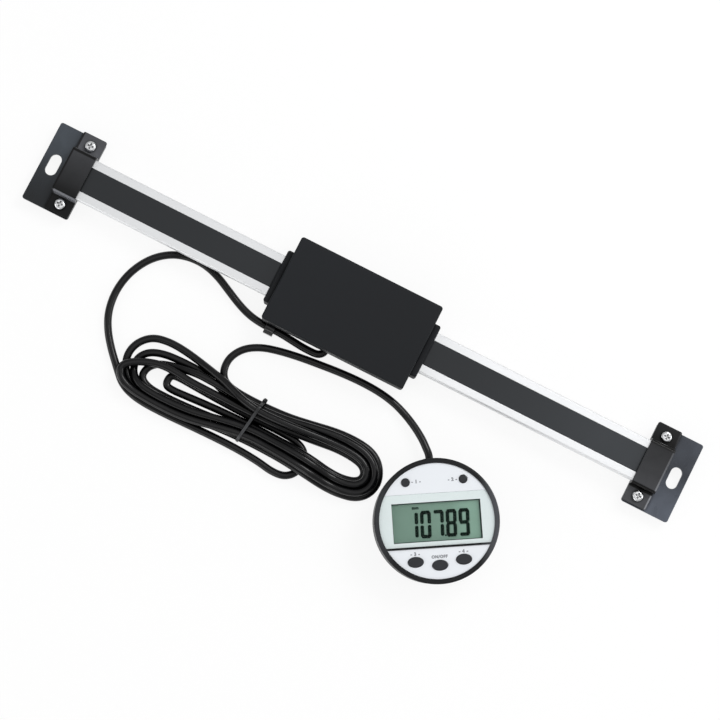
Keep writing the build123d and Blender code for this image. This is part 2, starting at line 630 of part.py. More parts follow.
with BuildPart() as cable_clip:
    bore_r = CORD_D / 2 + CLIP_GAP
    with BuildSketch(SECTION.offset(CLIP_X - CLIP_WIDTH / 2)):
        with Locations((CLIP_Y, CLIP_Z)):
            Circle(bore_r + CLIP_WALL)
        with Locations(((CLIP_Y - CLIP_TAB + HEAD_SIDE_Y) / 2, CLIP_Z)):
            Rectangle(HEAD_SIDE_Y - CLIP_Y + CLIP_TAB, CLIP_SHOULDER)
        with Locations((CLIP_Y, CLIP_Z)):
            Circle(bore_r, mode=Mode.SUBTRACT)
    extrude(amount=CLIP_WIDTH)
    with BuildSketch(Plane.XZ.offset(BASE_WIDTH / 2)):
        with Locations((CLIP_X, CLIP_PEG_Z)):
            Circle((CLIP_PEG_D - THREAD_GAP) / 2)
    extrude(amount=-CLIP_PEG_L + COVER_FIT)
write(cable_clip, "cable_clip")

# ================================================================ cable
def display_point(u, v, z):
    """Place of a point given in the display's own axes."""
    return tuple(DISPLAY_PLANE.from_local_coords((u, v, z)))


HEAD_ROUTE = [
    (HEAD_EXIT_X, HEAD_SIDE_Y - GLAND_FLANGE, HEAD_EXIT_Z),
    (HEAD_EXIT_X, HEAD_SIDE_Y - 2.4, HEAD_EXIT_Z),
    (HEAD_EXIT_X - 1.1, HEAD_SIDE_Y - 4.1, 3.1),
    (HEAD_EXIT_X - 3.0, HEAD_SIDE_Y - 5.1, 3.0),
    (HEAD_EXIT_X - 6.0, HEAD_SIDE_Y - 5.3, 2.9),
    (CLIP_X + 18.0, HEAD_SIDE_Y - 5.2, 2.8),
    (CLIP_X + 12.0, HEAD_SIDE_Y - 4.6, 2.8),
    (CLIP_X + 5.0, CLIP_Y, CLIP_Z),
    (CLIP_X - 5.0, CLIP_Y, CLIP_Z),
    (CLIP_X - 12.0, HEAD_SIDE_Y - 2.9, 2.3),
    (CLIP_X - 19.0, HEAD_SIDE_Y - 0.4, 1.95),
    (-59.2, -16.0, 1.95),
    (-66.9, -12.2, 1.95),
    (-75.0, -9.8, 1.95),
    (-83.5, -9.8, 1.95),
    (-91.8, -12.3, 1.95),
    (-99.0, -17.7, 1.95),
    (-104.1, -25.0, 1.95),
    (-107.3, -33.6, 1.95),
    (-108.2, -43.0, 1.95),
    (-106.5, -52.6, 1.95),
    (-102.3, -60.6, 1.95),
    (-97.0, -67.2, 1.95),
    (-92.8, -71.6, 1.95),
]
DISPLAY_EXIT_V = CASE_R + DISPLAY_GLAND_FLANGE
DISPLAY_ROUTE = [
    display_point(DISPLAY_GLAND_U, DISPLAY_EXIT_V, DISPLAY_GLAND_Z),
    display_point(DISPLAY_GLAND_U, DISPLAY_EXIT_V + DISPLAY_CORD_RUN, DISPLAY_GLAND_Z),
    (61.2, -41.4, 6.0),
    (58.0, -38.6, 5.2),
    (52.2, -34.8, 3.9),
    (45.3, -31.3, 2.6),
    (37.6, HEAD_SIDE_Y - 9.2, 2.05),
    (28.9, HEAD_SIDE_Y - 7.7, 1.95),
    (19.0, HEAD_SIDE_Y - 7.3, 1.95),
    (8.0, HEAD_SIDE_Y - 7.8, 1.95),
    (-3.0, HEAD_SIDE_Y - 8.9, 1.95),
    (-13.5, HEAD_SIDE_Y - 10.1, 1.95),
    (-23.5, HEAD_SIDE_Y - 11.8, 1.95),
    (-32.4, -33.5, 1.95),
    (-39.5, -37.8, 1.95),
    (-43.5, -43.9, 1.95),
    (-44.1, -49.8, 1.95),
    (-42.5, -54.2, 1.95),
]


def cord_radii(route):
    """One bend radius for each inner point: as large as the two runs beside it allow."""
    points = [Vector(*p) for p in route]
    radii = []
    for before, here, after in zip(points, points[1:], points[2:]):
        shorter = min((here - before).length, (after - here).length)
        half_turn = math.radians((here - before).get_angle(after - here)) / 2
        radii.append(0.45 * shorter / math.tan(half_turn))
    return radii


def cord_tube(route, label):
    """Plain tube of the cable's diameter along straight runs joined by tangent arcs."""
    radii = cord_radii(route)
    with BuildPart() as tube:
        with BuildLine() as path:
            FilletPolyline(*route, radius=radii)
        with BuildSketch(Plane(origin=path.line @ 0, z_dir=path.line % 0)):
            Circle(CORD_D / 2)
        sweep()
    length = path.wires()[0].length
    full = length * math.pi * CORD_D**2 / 4
    print(label, round(length, 1), "long, volume ratio", round(tube.part.volume / full, 4))
    print("  bend radii", [round(r, 1) for r in radii])
    write(tube, label)


cord_tube(HEAD_ROUTE, "cable_head_side")
cord_tube(DISPLAY_ROUTE, "cable_display_side")


def stub_plane(route):
    """Plane at the end of a route, facing along it."""
    end, before = Vector(*route[-1]), Vector(*route[-2])
    return Plane(origin=end, z_dir=end - before)


HANK_OUTLINE = [
    (-90.6, -60.0),
    (-83.0, -51.3),
    (-69.0, -49.0),
    (-45.0, -54.8),
    (-20.0, -58.3),
    (4.0, -56.4),
    (28.0, -50.8),
    (44.0, -55.0),
    (50.0, -67.5),
    (43.5, -80.8),
    (25.0, -83.2),
    (11.0, -82.8),
    (1.0, -87.0),
    (-22.0, -84.6),
    (-60.0, -84.1),
    (-82.0, -82.0),
    (-91.5, -74.0),
]
HANK_RADII = [8, 8, 12, 40, 60, 60, 10, 12, 10, 10, 20, 4, 4, 30, 60, 10, 8]
RIGHT_EYE = [(4.0, -65.0), (22.0, -62.0), (39.5, -64.0), (37.5, -70.6), (20.0, -71.4), (9.5, -70.2)]
LEFT_EYE = [
    (-76.2, -66.0), (-67.0, -65.4), (-61.0, -71.6), (-36.0, -72.2), (-52.0, -75.8), (-74.5, -76.0),
]
EYE_RADIUS = 1.2
SLIT_X = (-33.0, -8.0)
SLIT_Y = (-80.7, -79.3)

with BuildPart() as cable_hank:
    with BuildSketch():
        with BuildLine():
            FilletPolyline(*HANK_OUTLINE, radius=HANK_RADII, close=True)
        make_face()
    extrude(amount=HANK_HEIGHT)
    fillet(faces().sort_by(Axis.Z)[-1].edges(), HANK_EDGE)
    # eyes of the two loop ends
    with BuildSketch():
        for eye in (RIGHT_EYE, LEFT_EYE):
            with BuildLine():
                FilletPolyline(*eye, radius=EYE_RADIUS, close=True)
            make_face()
        # gap between the tied turns and the loose one beside them
        with Locations((sum(SLIT_X) / 2, sum(SLIT_Y) / 2)):
            Rectangle(SLIT_X[1] - SLIT_X[0], SLIT_Y[1] - SLIT_Y[0])
    extrude(amount=HANK_HEIGHT, mode=Mode.SUBTRACT)
    # groove that the tie passes through underneath
    with BuildSketch():
        with Locations(Location((TIE_X, (TIE_TOP_Y + TIE_BOTTOM_Y) / 2), -TIE_TURN)):
            Rectangle(TIE_WIDTH + 2 * TIE_GAP, TIE_TOP_Y - TIE_BOTTOM_Y + CORD_D)
    extrude(amount=TIE_THICK + TIE_GAP, mode=Mode.SUBTRACT)
    # the cable enters and leaves as short round stubs
    for route in (HEAD_ROUTE, DISPLAY_ROUTE):
        with BuildSketch(stub_plane(route)):
            Circle(CORD_D / 2)
        extrude(amount=HANK_STUB)
write(cable_hank, "cable_hank")

TIE_PLANE = Plane(
    origin=(TIE_X, (TIE_TOP_Y + TIE_BOTTOM_Y) / 2, 0),
    x_dir=(math.sin(math.radians(TIE_TURN)), math.cos(math.radians(TIE_TURN)), 0),
    z_dir=(math.cos(math.radians(TIE_TURN)), -math.sin(math.radians(TIE_TURN)), 0),
)
with BuildPart() as hank_tie:
    half = (TIE_TOP_Y - TIE_BOTTOM_Y) / 2
    with BuildSketch(TIE_PLANE.offset(-TIE_WIDTH / 2)):
        with Locations((0, (HANK_HEIGHT + TIE_GAP + TIE_THICK) / 2)):
            Rectangle(2 * half + 2 * TIE_THICK, HANK_HEIGHT + TIE_GAP + TIE_THICK)
            Rectangle(2 * half, HANK_HEIGHT + TIE_GAP - TIE_THICK, mode=Mode.SUBTRACT)
    extrude(amount=TIE_WIDTH)
    # twisted end of the tie
    with Locations(TIE_PLANE.from_local_coords((half + TIE_KNOT_D / 2, TIE_KNOT_Z, 0))):
        Sphere(TIE_KNOT_D / 2)
write(hank_tie, "hank_tie")

# ================================================================ round display
BUTTONS = (
    ("button_round_left", -ROUND_BUTTON_U, ROUND_BUTTON_V, ROUND_BUTTON_D, ROUND_BUTTON_D),
    ("button_round_right", ROUND_BUTTON_U, ROUND_BUTTON_V, ROUND_BUTTON_D, ROUND_BUTTON_D),
    ("button_oval_left", -OVAL_BUTTON_U, OVAL_BUTTON_V, OVAL_BUTTON_W, OVAL_BUTTON_H),
    ("button_oval_middle", 0, OVAL_MIDDLE_V, OVAL_BUTTON_W, OVAL_BUTTON_H),
    ("button_oval_right", OVAL_BUTTON_U, OVAL_BUTTON_V, OVAL_BUTTON_W, OVAL_BUTTON_H),
)
BOSSES = ring_of(CASE_R - BOSS_EDGE, BOSS_ANGLES)
PILLARS = ring_of(CASE_R - BACK_SCREW_EDGE, BACK_SCREW_ANGLES)
MAGNET_PLACES = ring_of(CASE_R - MAGNET_EDGE, MAGNET_ANGLES)
GLAND_PLANE = Plane(
    origin=DISPLAY_PLANE.from_local_coords((DISPLAY_GLAND_U, CASE_R, DISPLAY_GLAND_Z)),
    z_dir=DISPLAY_PLANE.y_dir,
)


def display_level(z):
    """Plane of the display at a height above the surface."""
    return DISPLAY_PLANE.offset(z)


def button_shapes(growth, mode=Mode.SUBTRACT):
    """Outlines of all five buttons, grown by a margin, in the sketch that is being drawn."""
    for _, u, v, width, height in BUTTONS:
        with Locations((u, v)):
            Ellipse(width / 2 + growth, height / 2 + growth, mode=mode)


def face_band(low_v, high_v):
    """Part of the round face between two heights, in the sketch that is being drawn."""
    Circle(FACE_R - FACE_GAP)
    with Locations((0, (low_v + high_v) / 2)):
        Rectangle(2 * CASE_R, high_v - low_v, mode=Mode.INTERSECT)


with BuildPart() as display_case:
    with BuildSketch(display_level(BACK_THICK)):
        Circle(CASE_R)
    extrude(amount=CASE_TOP_Z - BACK_THICK)
    fillet(faces().sort_by(Axis.Z)[-1].edges(), CASE_EDGE)
    # recess of the face, crossed by a narrow bar
    with BuildSketch(display_level(CASE_TOP_Z)):
        Circle(FACE_R)
        with Locations((0, BAR_V)):
            Rectangle(2 * CASE_R, BAR_H, mode=Mode.SUBTRACT)
    extrude(amount=DECK_TOP_Z - CASE_TOP_Z, mode=Mode.SUBTRACT)
    # hollow behind the deck
    with BuildSketch(display_level(BACK_THICK)):
        Circle(CASE_INNER_R)
    extrude(amount=DECK_BOTTOM_Z - BACK_THICK, mode=Mode.SUBTRACT)
    # window and button openings in the deck
    with BuildSketch(display_level(DECK_TOP_Z)):
        with Locations((0, WINDOW_V)):
            Rectangle(WINDOW_W, WINDOW_H)
        button_shapes(BUTTON_GAP, Mode.ADD)
    extrude(amount=-DECK_THICK, mode=Mode.SUBTRACT)
    # bosses that carry the board, pillars that take the back screws
    with BuildSketch(display_level(BOARD_TOP_Z)):
        with Locations(*BOSSES):
            Circle(BOSS_D / 2)
            Circle(BOARD_SCREW_D / 2, mode=Mode.SUBTRACT)
    extrude(amount=DECK_BOTTOM_Z - BOARD_TOP_Z)
    with BuildSketch(display_level(BACK_THICK)):
        with Locations(*PILLARS):
            Circle(PILLAR_D / 2)
            Circle(BACK_SCREW_D / 2, mode=Mode.SUBTRACT)
    extrude(amount=BOARD_BOTTOM_Z - BACK_THICK - FACE_GAP)
    with BuildSketch(GLAND_PLANE):
        Circle(DISPLAY_GLAND_D / 2)
    extrude(amount=-1.5 * CASE_WALL, mode=Mode.SUBTRACT)
write(display_case, "display_case")

with BuildPart() as upper_panel:
    with BuildSketch(display_level(DECK_TOP_Z)):
        face_band(LENS_TOP_V + FACE_GAP, CASE_R)
        button_shapes(BUTTON_GAP)
    extrude(amount=PANEL_THICK)
write(upper_panel, "upper_panel")

with BuildPart() as lower_panel:
    with BuildSketch(display_level(DECK_TOP_Z)):
        face_band(-CASE_R, PANEL_TOP_V - FACE_GAP)
        button_shapes(BUTTON_GAP)
    extrude(amount=PANEL_THICK)
write(lower_panel, "lower_panel")

with BuildPart() as window_mask:
    with BuildSketch(display_level(DECK_TOP_Z)):
        face_band(LENS_BOTTOM_V + FACE_GAP, LENS_TOP_V)
        with Locations((0, WINDOW_V)):
            Rectangle(WINDOW_W, WINDOW_H, mode=Mode.SUBTRACT)
    extrude(amount=MASK_THICK)
write(window_mask, "window_mask")

with BuildPart() as display_lens:
    with BuildSketch(display_level(DECK_TOP_Z + MASK_THICK)):
        face_band(LENS_BOTTOM_V + FACE_GAP, LENS_TOP_V)
    extrude(amount=LENS_THICK)
write(display_lens, "display_lens")

with BuildPart() as lcd_glass:
    with BuildSketch(display_level(LCD_BOTTOM_Z)):
        with Locations((0, WINDOW_V)):
            Rectangle(LCD_W, LCD_H)
    extrude(amount=LCD_THICK)
write(lcd_glass, "lcd_glass")

with BuildPart() as zebra_strips:
    with BuildSketch(display_level(BOARD_TOP_Z)):
        with Locations((0, WINDOW_V)):
            with GridLocations(0, LCD_H - ZEBRA_W, 1, 2):
                Rectangle(LCD_W - 2 * ZEBRA_W, ZEBRA_W)
    extrude(amount=ZEBRA_H)
write(zebra_strips, "zebra_strips")

with BuildPart() as display_board:
    with BuildSketch(display_level(BOARD_BOTTOM_Z)):
        Circle(BOARD_R)
        with Locations(*BOSSES):
            Circle((BOARD_SCREW_D + SCREW_CLEARANCE) / 2, mode=Mode.SUBTRACT)
    extrude(amount=BOARD_THICK)
write(display_board, "display_board")

with BuildPart() as display_chips:
    with BuildSketch(display_level(BOARD_BOTTOM_Z)):
        Circle(BLOB_R)
        with Locations((2.4 * BLOB_R, BLOB_R)):
            SlotOverall(1.6 * BLOB_R, BLOB_R / 2)
        with Locations((-2.4 * BLOB_R, 0)):
            with GridLocations(BLOB_R, BLOB_R, 2, 3):
                Rectangle(BLOB_R / 2, BLOB_R / 4)
    extrude(amount=-BLOB_H)
write(display_chips, "display_chips")

with BuildPart() as display_board_screws:
    screw = pan_screw(
        BOARD_SCREW_HEAD_D,
        BOARD_SCREW_HEAD_H,
        BOARD_SCREW_D - THREAD_GAP,
        BOARD_THICK + DECK_BOTTOM_Z - BOARD_TOP_Z - FACE_GAP,
    )
    seats = [DISPLAY_PLANE.from_local_coords((u, v, BOARD_BOTTOM_Z)) for u, v in BOSSES]
    with Locations(*seats):
        add(screw, rotation=(180, 0, 0))
write(display_board_screws, "display_board_screws")

with BuildPart() as keypad_mat:
    with BuildSketch(display_level(BOARD_TOP_Z)):
        with Locations((0, ROUND_BUTTON_V)):
            Rectangle(MAT_LENGTH, OVAL_BUTTON_H + 2 * DOME_INSET)
        with Locations((0, (OVAL_BUTTON_V + OVAL_MIDDLE_V) / 2)):
            Rectangle(MAT_LENGTH, OVAL_BUTTON_H + OVAL_BUTTON_V - OVAL_MIDDLE_V)
        Circle(BOARD_R - MAT_MARGIN, mode=Mode.INTERSECT)
    extrude(amount=MAT_THICK)
    with BuildSketch(display_level(MAT_TOP_Z)):
        button_shapes(-DOME_INSET, Mode.ADD)
    extrude(amount=DOME_TOP_Z - MAT_TOP_Z)
write(keypad_mat, "keypad_mat")

for name, u, v, width, height in BUTTONS:
    with BuildPart() as button:
        with BuildSketch(display_level(BUTTON_BOTTOM_Z)):
            with Locations((u, v)):
                Ellipse(width / 2, height / 2)
        extrude(amount=BUTTON_TOP_Z - BUTTON_BOTTOM_Z)
        fillet(faces().sort_by(Axis.Z)[-1].edges(), BUTTON_CROWN)
        with BuildSketch(display_level(BUTTON_BOTTOM_Z)):
            with Locations((u, v)):
                Ellipse(width / 2 + BUTTON_FLANGE, height / 2 + BUTTON_FLANGE)
        extrude(amount=BUTTON_FLANGE_THICK)
    write(button, name)

with BuildPart() as back_cover:
    with BuildSketch(display_level(0)):
        Circle(CASE_R)
    extrude(amount=BACK_THICK)
    chamfer(faces().sort_by(Axis.Z)[0].edges(), CASE_EDGE)
    # spigot inside the case, interrupted at the pillars
    with BuildSketch(display_level(BACK_THICK)):
        Circle(CASE_INNER_R - BACK_LIP_GAP)
        Circle(CASE_INNER_R - BACK_LIP_GAP - BACK_LIP, mode=Mode.SUBTRACT)
        with Locations(*PILLARS):
            Circle(PILLAR_D / 2 + BACK_LIP_GAP, mode=Mode.SUBTRACT)
    extrude(amount=BACK_LIP)
    # well for the button cell
    with BuildSketch(display_level(BACK_THICK)):
        Circle(WELL_R + CELL_WELL_WALL)
    extrude(amount=WELL_TOP_Z + WELL_ROOF - BACK_THICK)
    with BuildSketch(display_level(0)):
        Circle(WELL_R)
    extrude(amount=WELL_TOP_Z, mode=Mode.SUBTRACT)
    with BuildSketch(display_level(0)):
        Circle(BATTERY_COVER_D / 2 + BATTERY_COVER_GAP)
    extrude(amount=BATTERY_COVER_THICK, mode=Mode.SUBTRACT)
    # slots in the roof of the well for the two contacts' legs
    with BuildSketch(display_level(WELL_TOP_Z)):
        with GridLocations(CONTACT_SPACING, 0, 2, 1):
            Rectangle(CONTACT_W / 2 + 2 * BACK_LIP_GAP, CONTACT_THICK + 2 * BACK_LIP_GAP)
    extrude(amount=WELL_ROOF, mode=Mode.SUBTRACT)
    # magnet pockets and screw seats in the underside
    with BuildSketch(display_level(0)):
        with Locations(*MAGNET_PLACES):
            Circle(MAGNET_D / 2 + POCKET_GAP)
    extrude(amount=MAGNET_THICK, mode=Mode.SUBTRACT)
    with BuildSketch(display_level(0)):
        with Locations(*PILLARS):
            Circle((BACK_SCREW_D + SCREW_CLEARANCE) / 2)
    extrude(amount=BACK_THICK, mode=Mode.SUBTRACT)
    with BuildSketch(display_level(0)):
        with Locations(*PILLARS):
            Circle((BACK_SCREW_HEAD_D + SCREW_CLEARANCE) / 2)
    extrude(amount=BACK_SCREW_RECESS, mode=Mode.SUBTRACT)
write(back_cover, "back_cover")

with BuildPart() as back_screws:
    screw = pan_screw(
        BACK_SCREW_HEAD_D, BACK_SCREW_HEAD_H, BACK_SCREW_D - THREAD_GAP, BACK_SCREW_L
    )
    seats = [DISPLAY_PLANE.from_local_coords((u, v, BACK_SCREW_RECESS)) for u, v in PILLARS]
    with Locations(*seats):
        add(screw, rotation=(180, 0, 0))
write(back_screws, "back_screws")

with BuildPart() as magnets:
    with BuildSketch(display_level(0)):
        with Locations(*MAGNET_PLACES):
            Circle(MAGNET_D / 2)
    extrude(amount=MAGNET_THICK)
write(magnets, "magnets")

with BuildPart() as battery_cover:
    with BuildSketch(display_level(0)):
        Circle(BATTERY_COVER_D / 2)
    extrude(amount=BATTERY_COVER_THICK)
    with BuildSketch(display_level(0)):
        SlotOverall(COIN_SLOT_L, COIN_SLOT_W)
    extrude(amount=COIN_SLOT_DEPTH, mode=Mode.SUBTRACT)
write(battery_cover, "battery_cover")

with BuildPart() as battery_cell:
    with BuildSketch(display_level(CELL_BOTTOM_Z)):
        Circle(CELL_D / 2)
    extrude(amount=CELL_THICK)
    chamfer(faces().sort_by(Axis.Z)[0].edges(), CELL_THICK / 4)
write(battery_cell, "battery_cell")

with BuildPart() as battery_contacts:
    # leaves on the cell, with legs that reach up to the board
    plate_z = CELL_BOTTOM_Z + CELL_THICK + CONTACT_GAP
    with BuildSketch(display_level(plate_z)):
        with GridLocations(CONTACT_SPACING, 0, 2, 1):
            Rectangle(CONTACT_L, CONTACT_W)
    extrude(amount=CONTACT_THICK)
    with BuildSketch(display_level(plate_z)):
        with GridLocations(CONTACT_SPACING, 0, 2, 1):
            Rectangle(CONTACT_W / 2, CONTACT_THICK)
    extrude(amount=BOARD_BOTTOM_Z - FACE_GAP - plate_z)
write(battery_contacts, "battery_contacts")

with BuildPart() as display_gland:
    with BuildSketch(GLAND_PLANE):
        Circle((DISPLAY_GLAND_D - THREAD_GAP) / 2)
    extrude(amount=-CASE_WALL)
    with BuildSketch(GLAND_PLANE):
        Circle(DISPLAY_GLAND_FLANGE_D / 2)
    extrude(amount=DISPLAY_GLAND_FLANGE)
write(display_gland, "display_gland")
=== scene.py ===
import math

import bpy
from bpy.props import FloatProperty, FloatVectorProperty, PointerProperty, StringProperty
from bpy.types import Operator, Panel, PropertyGroup
from mathutils import Matrix, Vector


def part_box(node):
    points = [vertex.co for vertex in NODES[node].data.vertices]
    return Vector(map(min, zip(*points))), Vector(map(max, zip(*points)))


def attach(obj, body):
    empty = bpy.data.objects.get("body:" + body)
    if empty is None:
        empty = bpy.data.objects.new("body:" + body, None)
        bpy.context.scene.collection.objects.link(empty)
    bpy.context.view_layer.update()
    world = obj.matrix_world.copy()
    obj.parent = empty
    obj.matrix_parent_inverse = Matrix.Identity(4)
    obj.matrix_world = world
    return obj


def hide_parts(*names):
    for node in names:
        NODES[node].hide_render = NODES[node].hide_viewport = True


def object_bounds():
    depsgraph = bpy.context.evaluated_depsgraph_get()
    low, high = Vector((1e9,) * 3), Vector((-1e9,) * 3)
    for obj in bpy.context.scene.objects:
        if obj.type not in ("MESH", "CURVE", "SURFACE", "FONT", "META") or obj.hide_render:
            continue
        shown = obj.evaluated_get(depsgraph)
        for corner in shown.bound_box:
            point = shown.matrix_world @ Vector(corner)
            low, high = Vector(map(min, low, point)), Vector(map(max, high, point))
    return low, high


bl_info = {
    "name": "Digital Linear Scale",
    "version": (1, 0, 0),
    "blender": (4, 5, 0),
    "location": "View3D > Sidebar > Linear Scale",
    "description": "Finishes, cable, reading and stage for a linear scale with a remote readout",
    "category": "Object",
}

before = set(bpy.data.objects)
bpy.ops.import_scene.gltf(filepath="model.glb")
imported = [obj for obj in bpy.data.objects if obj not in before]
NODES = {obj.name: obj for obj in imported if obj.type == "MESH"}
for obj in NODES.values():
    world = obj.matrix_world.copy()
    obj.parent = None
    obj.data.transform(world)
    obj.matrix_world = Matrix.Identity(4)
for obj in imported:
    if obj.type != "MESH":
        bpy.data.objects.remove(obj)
CAD_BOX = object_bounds()
MM = 0.001

HAIR = 0.01 * MM            # keeps two faces from sharing a plane

# ------------------------------------------------------------------ sizes, millimetres where not said
# the readout stands turned beside the bar; its own flat directions are u and v
READOUT = (Matrix.Translation(Vector((81, -71.3, 0)) * MM)
           @ Matrix.Rotation(math.radians(30.6), 4, "Z"))
GLASS_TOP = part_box("lcd_glass")[1].z        # metres, as are the next two
PANEL_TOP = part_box("upper_panel")[1].z
MASK_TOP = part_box("window_mask")[1].z

LENS_SIDES = 160
LENS_RADIUS = 27.55
LENS_TOP = 13.3             # the straight cuts above and below the middle
LENS_BOTTOM = -11.675
LENS_THICK = 0.48
LENS_RIM = 0.12

# The gasket is partly a foam gasket, partly painted shadow: it is widest at the right and top, where the
# window's edge shades the glass.
GASKET_SIZE = (42.5, 18.8)
GASKET_MIDDLE = (0, -0.2)
GASKET_WIDTH = 0.42
GASKET_INNER_SHIFT = (-0.22, -0.06)         # the opening's middle from the gasket's
GASKET_THICK = 0.3
GASKET_RIM = 0.08

READING_MIDDLE = (0.76, -1.3)
STROKE_CLIP = 0.45          # clipped corner of a stroke
STROKE_THICK = 0.04
UPRIGHT_INSET = 0.7         # how far upright and level strokes end inside the digit's outline
LEVEL_INSET = 0.45
MIDDLE_GAP = 0.7            # between the upper and the lower upright strokes
POINT_RADIUS = 0.45
POINT_SIDES = 20
POINT_RIM = 0.008
SHADOW_SHIFT = (0.30, -0.36)
SHADOW_FLATNESS = 0.2       # the shadow's thickness beside the stroke's

CAPITAL_SHARE = 0.72        # a capital's height beside the font's size
LETTER_SPACING = 1.15
LETTER_WEIGHT = 0.12
KEY_LABELS = (              # words, share of the label height, u and v
    ("- 1 -", 1.0, -8.7, 19.2), ("- 2 -", 1.0, 8.7, 19.2), ("- 3 -", 1.0, -11.5, -15.1),
    ("ON/OFF", 0.85, 0, -17.0), ("- 4 -", 1.0, 11.5, -15.1),
)
UNIT_HEIGHT = 1.45
UNIT_PLACE = (-9.9, 6.8)

# ------------------------------------------------------------------ cable points, millimetres
HEAD_RUN = (
    (-3.7, -19.8, 3.2), (-3.7, -21.7, 3.2), (-4.8, -23.4, 3.1), (-6.7, -24.4, 3), (-9.7, -24.6, 2.9),
    (-14.6, -24.5, 2.8), (-20.6, -23.9, 2.8), (-27.6, -23.25, 2.9), (-37.6, -23.25, 2.9),
    (-44.6, -22.2, 2.3), (-51.6, -19.7, 1.95), (-59.2, -16, 1.95), (-66.9, -12.2, 1.95),
    (-75, -9.8, 1.95), (-83.5, -9.8, 1.95), (-91.8, -12.3, 1.95), (-99, -17.7, 1.95), (-104.1, -25, 1.95),
    (-107.3, -33.6, 1.95), (-108.2, -43, 1.95), (-106.5, -52.6, 1.95), (-102.3, -60.6, 1.95),
    (-97, -67.2, 1.95),
)
# the wound hank: each line of turns goes to a left end or a right end and lies beside or on the last
HANK_TURNS = (
    (-92.7, -71.7, 2), (-89.2, -75.3, 2), (-85, -79.5, 2), (-79.3, -82.2, 2), (-71.1, -83.6, 2),
    (-58, -83.7, 2), (-44, -83.2, 2), (-30, -82.9, 2), (-18, -83.1, 2), (-8, -83.9, 2), (-0.5, -85.2, 2),
    (6.2, -84.6, 2), (10.6, -80.4, 2), (11.2, -74.4, 2), (9.4, -69.3, 2), (3.6, -66.6, 2), (-6, -66.1, 2),
    (-19, -66.2, 2), (-32, -66.1, 2), (-45, -65.6, 2), (-55, -65.1, 2), (-61.4, -64.8, 2),
    (-65.4, -65.5, 2), (-65.6, -70.9, 2), (-61.8, -71.8, 2), (-54, -71.3, 2), (-42, -70.5, 2),
    (-30, -70, 2), (-16, -69.9, 2), (-4, -70.2, 2.6), (6, -70.7, 5.8), (15, -71.5, 5.8), (24, -72.8, 2.5),
    (31.9, -72.9, 2), (38.8, -71, 2), (40.8, -66.9, 2), (37.9, -62.7, 2), (30.9, -61.3, 2.1),
    (22, -61.2, 2.3), (11.1, -62.7, 2.8), (0.1, -63.8, 4.6), (-10, -64.4, 5.7), (-19, -64.5, 5.5),
    (-32, -64.5, 5.4), (-45, -64.5, 5.7), (-55, -64.4, 5.9), (-64, -63.4, 5.8), (-71, -63.3, 5.8),
    (-78, -65.2, 5.7), (-84.5, -68.3, 6), (-88.8, -72.4, 6.3), (-86.6, -77.4, 6), (-80, -80.4, 5.5),
    (-70, -81.4, 5.3), (-57, -81.6, 5.4), (-46, -80.7, 5.6), (-34, -78, 5.8), (-20, -75.5, 5.4),
    (-8, -75.7, 6.2), (5, -76.6, 9.2), (15.1, -77.6, 9.3), (25.1, -78.5, 5.6), (33, -78.5, 5.5),
    (41, -76.5, 5.4), (45.2, -71.9, 5.4), (45.9, -66.2, 5.4), (43.1, -60.7, 5.5), (37.1, -56.9, 5.4),
    (29, -55.6, 5.4), (20, -55.6, 5.3), (7.9, -57.4, 5.3), (-5, -59.9, 5.3), (-19, -60.9, 5.3),
    (-30, -60.8, 5.3), (-38, -60, 5.4), (-46, -59.6, 5.7), (-53, -59.4, 5.6), (-60, -60.2, 4.1),
    (-67, -61.3, 2.4), (-73.5, -63.4, 2), (-77.4, -67.5, 2), (-77.8, -73, 2), (-72.5, -75.9, 2),
    (-64, -76.3, 2), (-54, -76, 2), (-44, -75.4, 2), (-32, -74.2, 2), (-18, -73.6, 2), (-5, -73.8, 2.6),
    (5, -74.4, 5.8), (14.9, -75.4, 5.7), (24.9, -76.7, 2.4), (33, -76.5, 2), (40.2, -74.5, 2),
    (44.3, -69.5, 2), (43.6, -63.6, 2), (38.6, -58.9, 2), (31.1, -57.4, 2), (21, -57.5, 2), (9, -59.4, 2),
    (-4, -61.7, 2), (-19, -62.6, 2), (-30, -62.5, 2), (-38, -61.4, 2), (-46, -58.8, 2), (-54, -57.2, 2),
    (-64, -57.2, 2), (-73, -57.8, 2), (-80.4, -60.5, 2), (-84, -66.1, 2.1), (-82.6, -72.2, 2.8),
    (-77.5, -76.7, 5.3), (-68.8, -77.9, 5.6), (-56.9, -77.8, 5.5), (-46, -76.8, 5.5), (-34, -74.1, 5.9),
    (-20, -71.8, 5.4), (-8, -72, 6.2), (5, -72.5, 9.2), (15, -73.4, 9.3), (25.1, -74.7, 5.5),
    (32, -74.8, 5.5), (38.7, -73.3, 5.4), (42.2, -69, 5.4), (41, -63.9, 5.5), (36, -60.5, 5.5),
    (28, -59.4, 5.5), (17.1, -59.7, 5.9), (5.1, -61, 7.7), (-7, -62.1, 8.9), (-19, -62.5, 9.1),
    (-28, -61.1, 9.7), (-34.9, -58.8, 8.8), (-40.9, -56.7, 7.4), (-46.9, -55.4, 5.7), (-55, -53.6, 3.1),
    (-64, -52, 2.2), (-73, -51.4, 2.1), (-81.5, -53, 2), (-87, -58.4, 2), (-89, -65.2, 2), (-87, -72, 2),
    (-82.7, -76.7, 2), (-76, -79.2, 2), (-67, -80, 2), (-55, -79.9, 2), (-44, -79.2, 2), (-32, -78, 2),
    (-18, -77.4, 2), (-5, -77.6, 2.6), (5, -78.3, 5.8), (14.9, -79.4, 5.7), (24.9, -80.4, 2.4),
    (33, -80.3, 2), (41.6, -78.6, 2), (46.7, -73.9, 2), (48.4, -66.9, 2), (45.4, -59.5, 2),
    (39.5, -54.9, 2), (31, -53.4, 2), (20, -53.7, 2), (7.9, -55.9, 2), (-5.1, -58.1, 2), (-19, -58.8, 2),
    (-30, -58.7, 2), (-38, -57.7, 2), (-42.2, -54.9, 2),
)
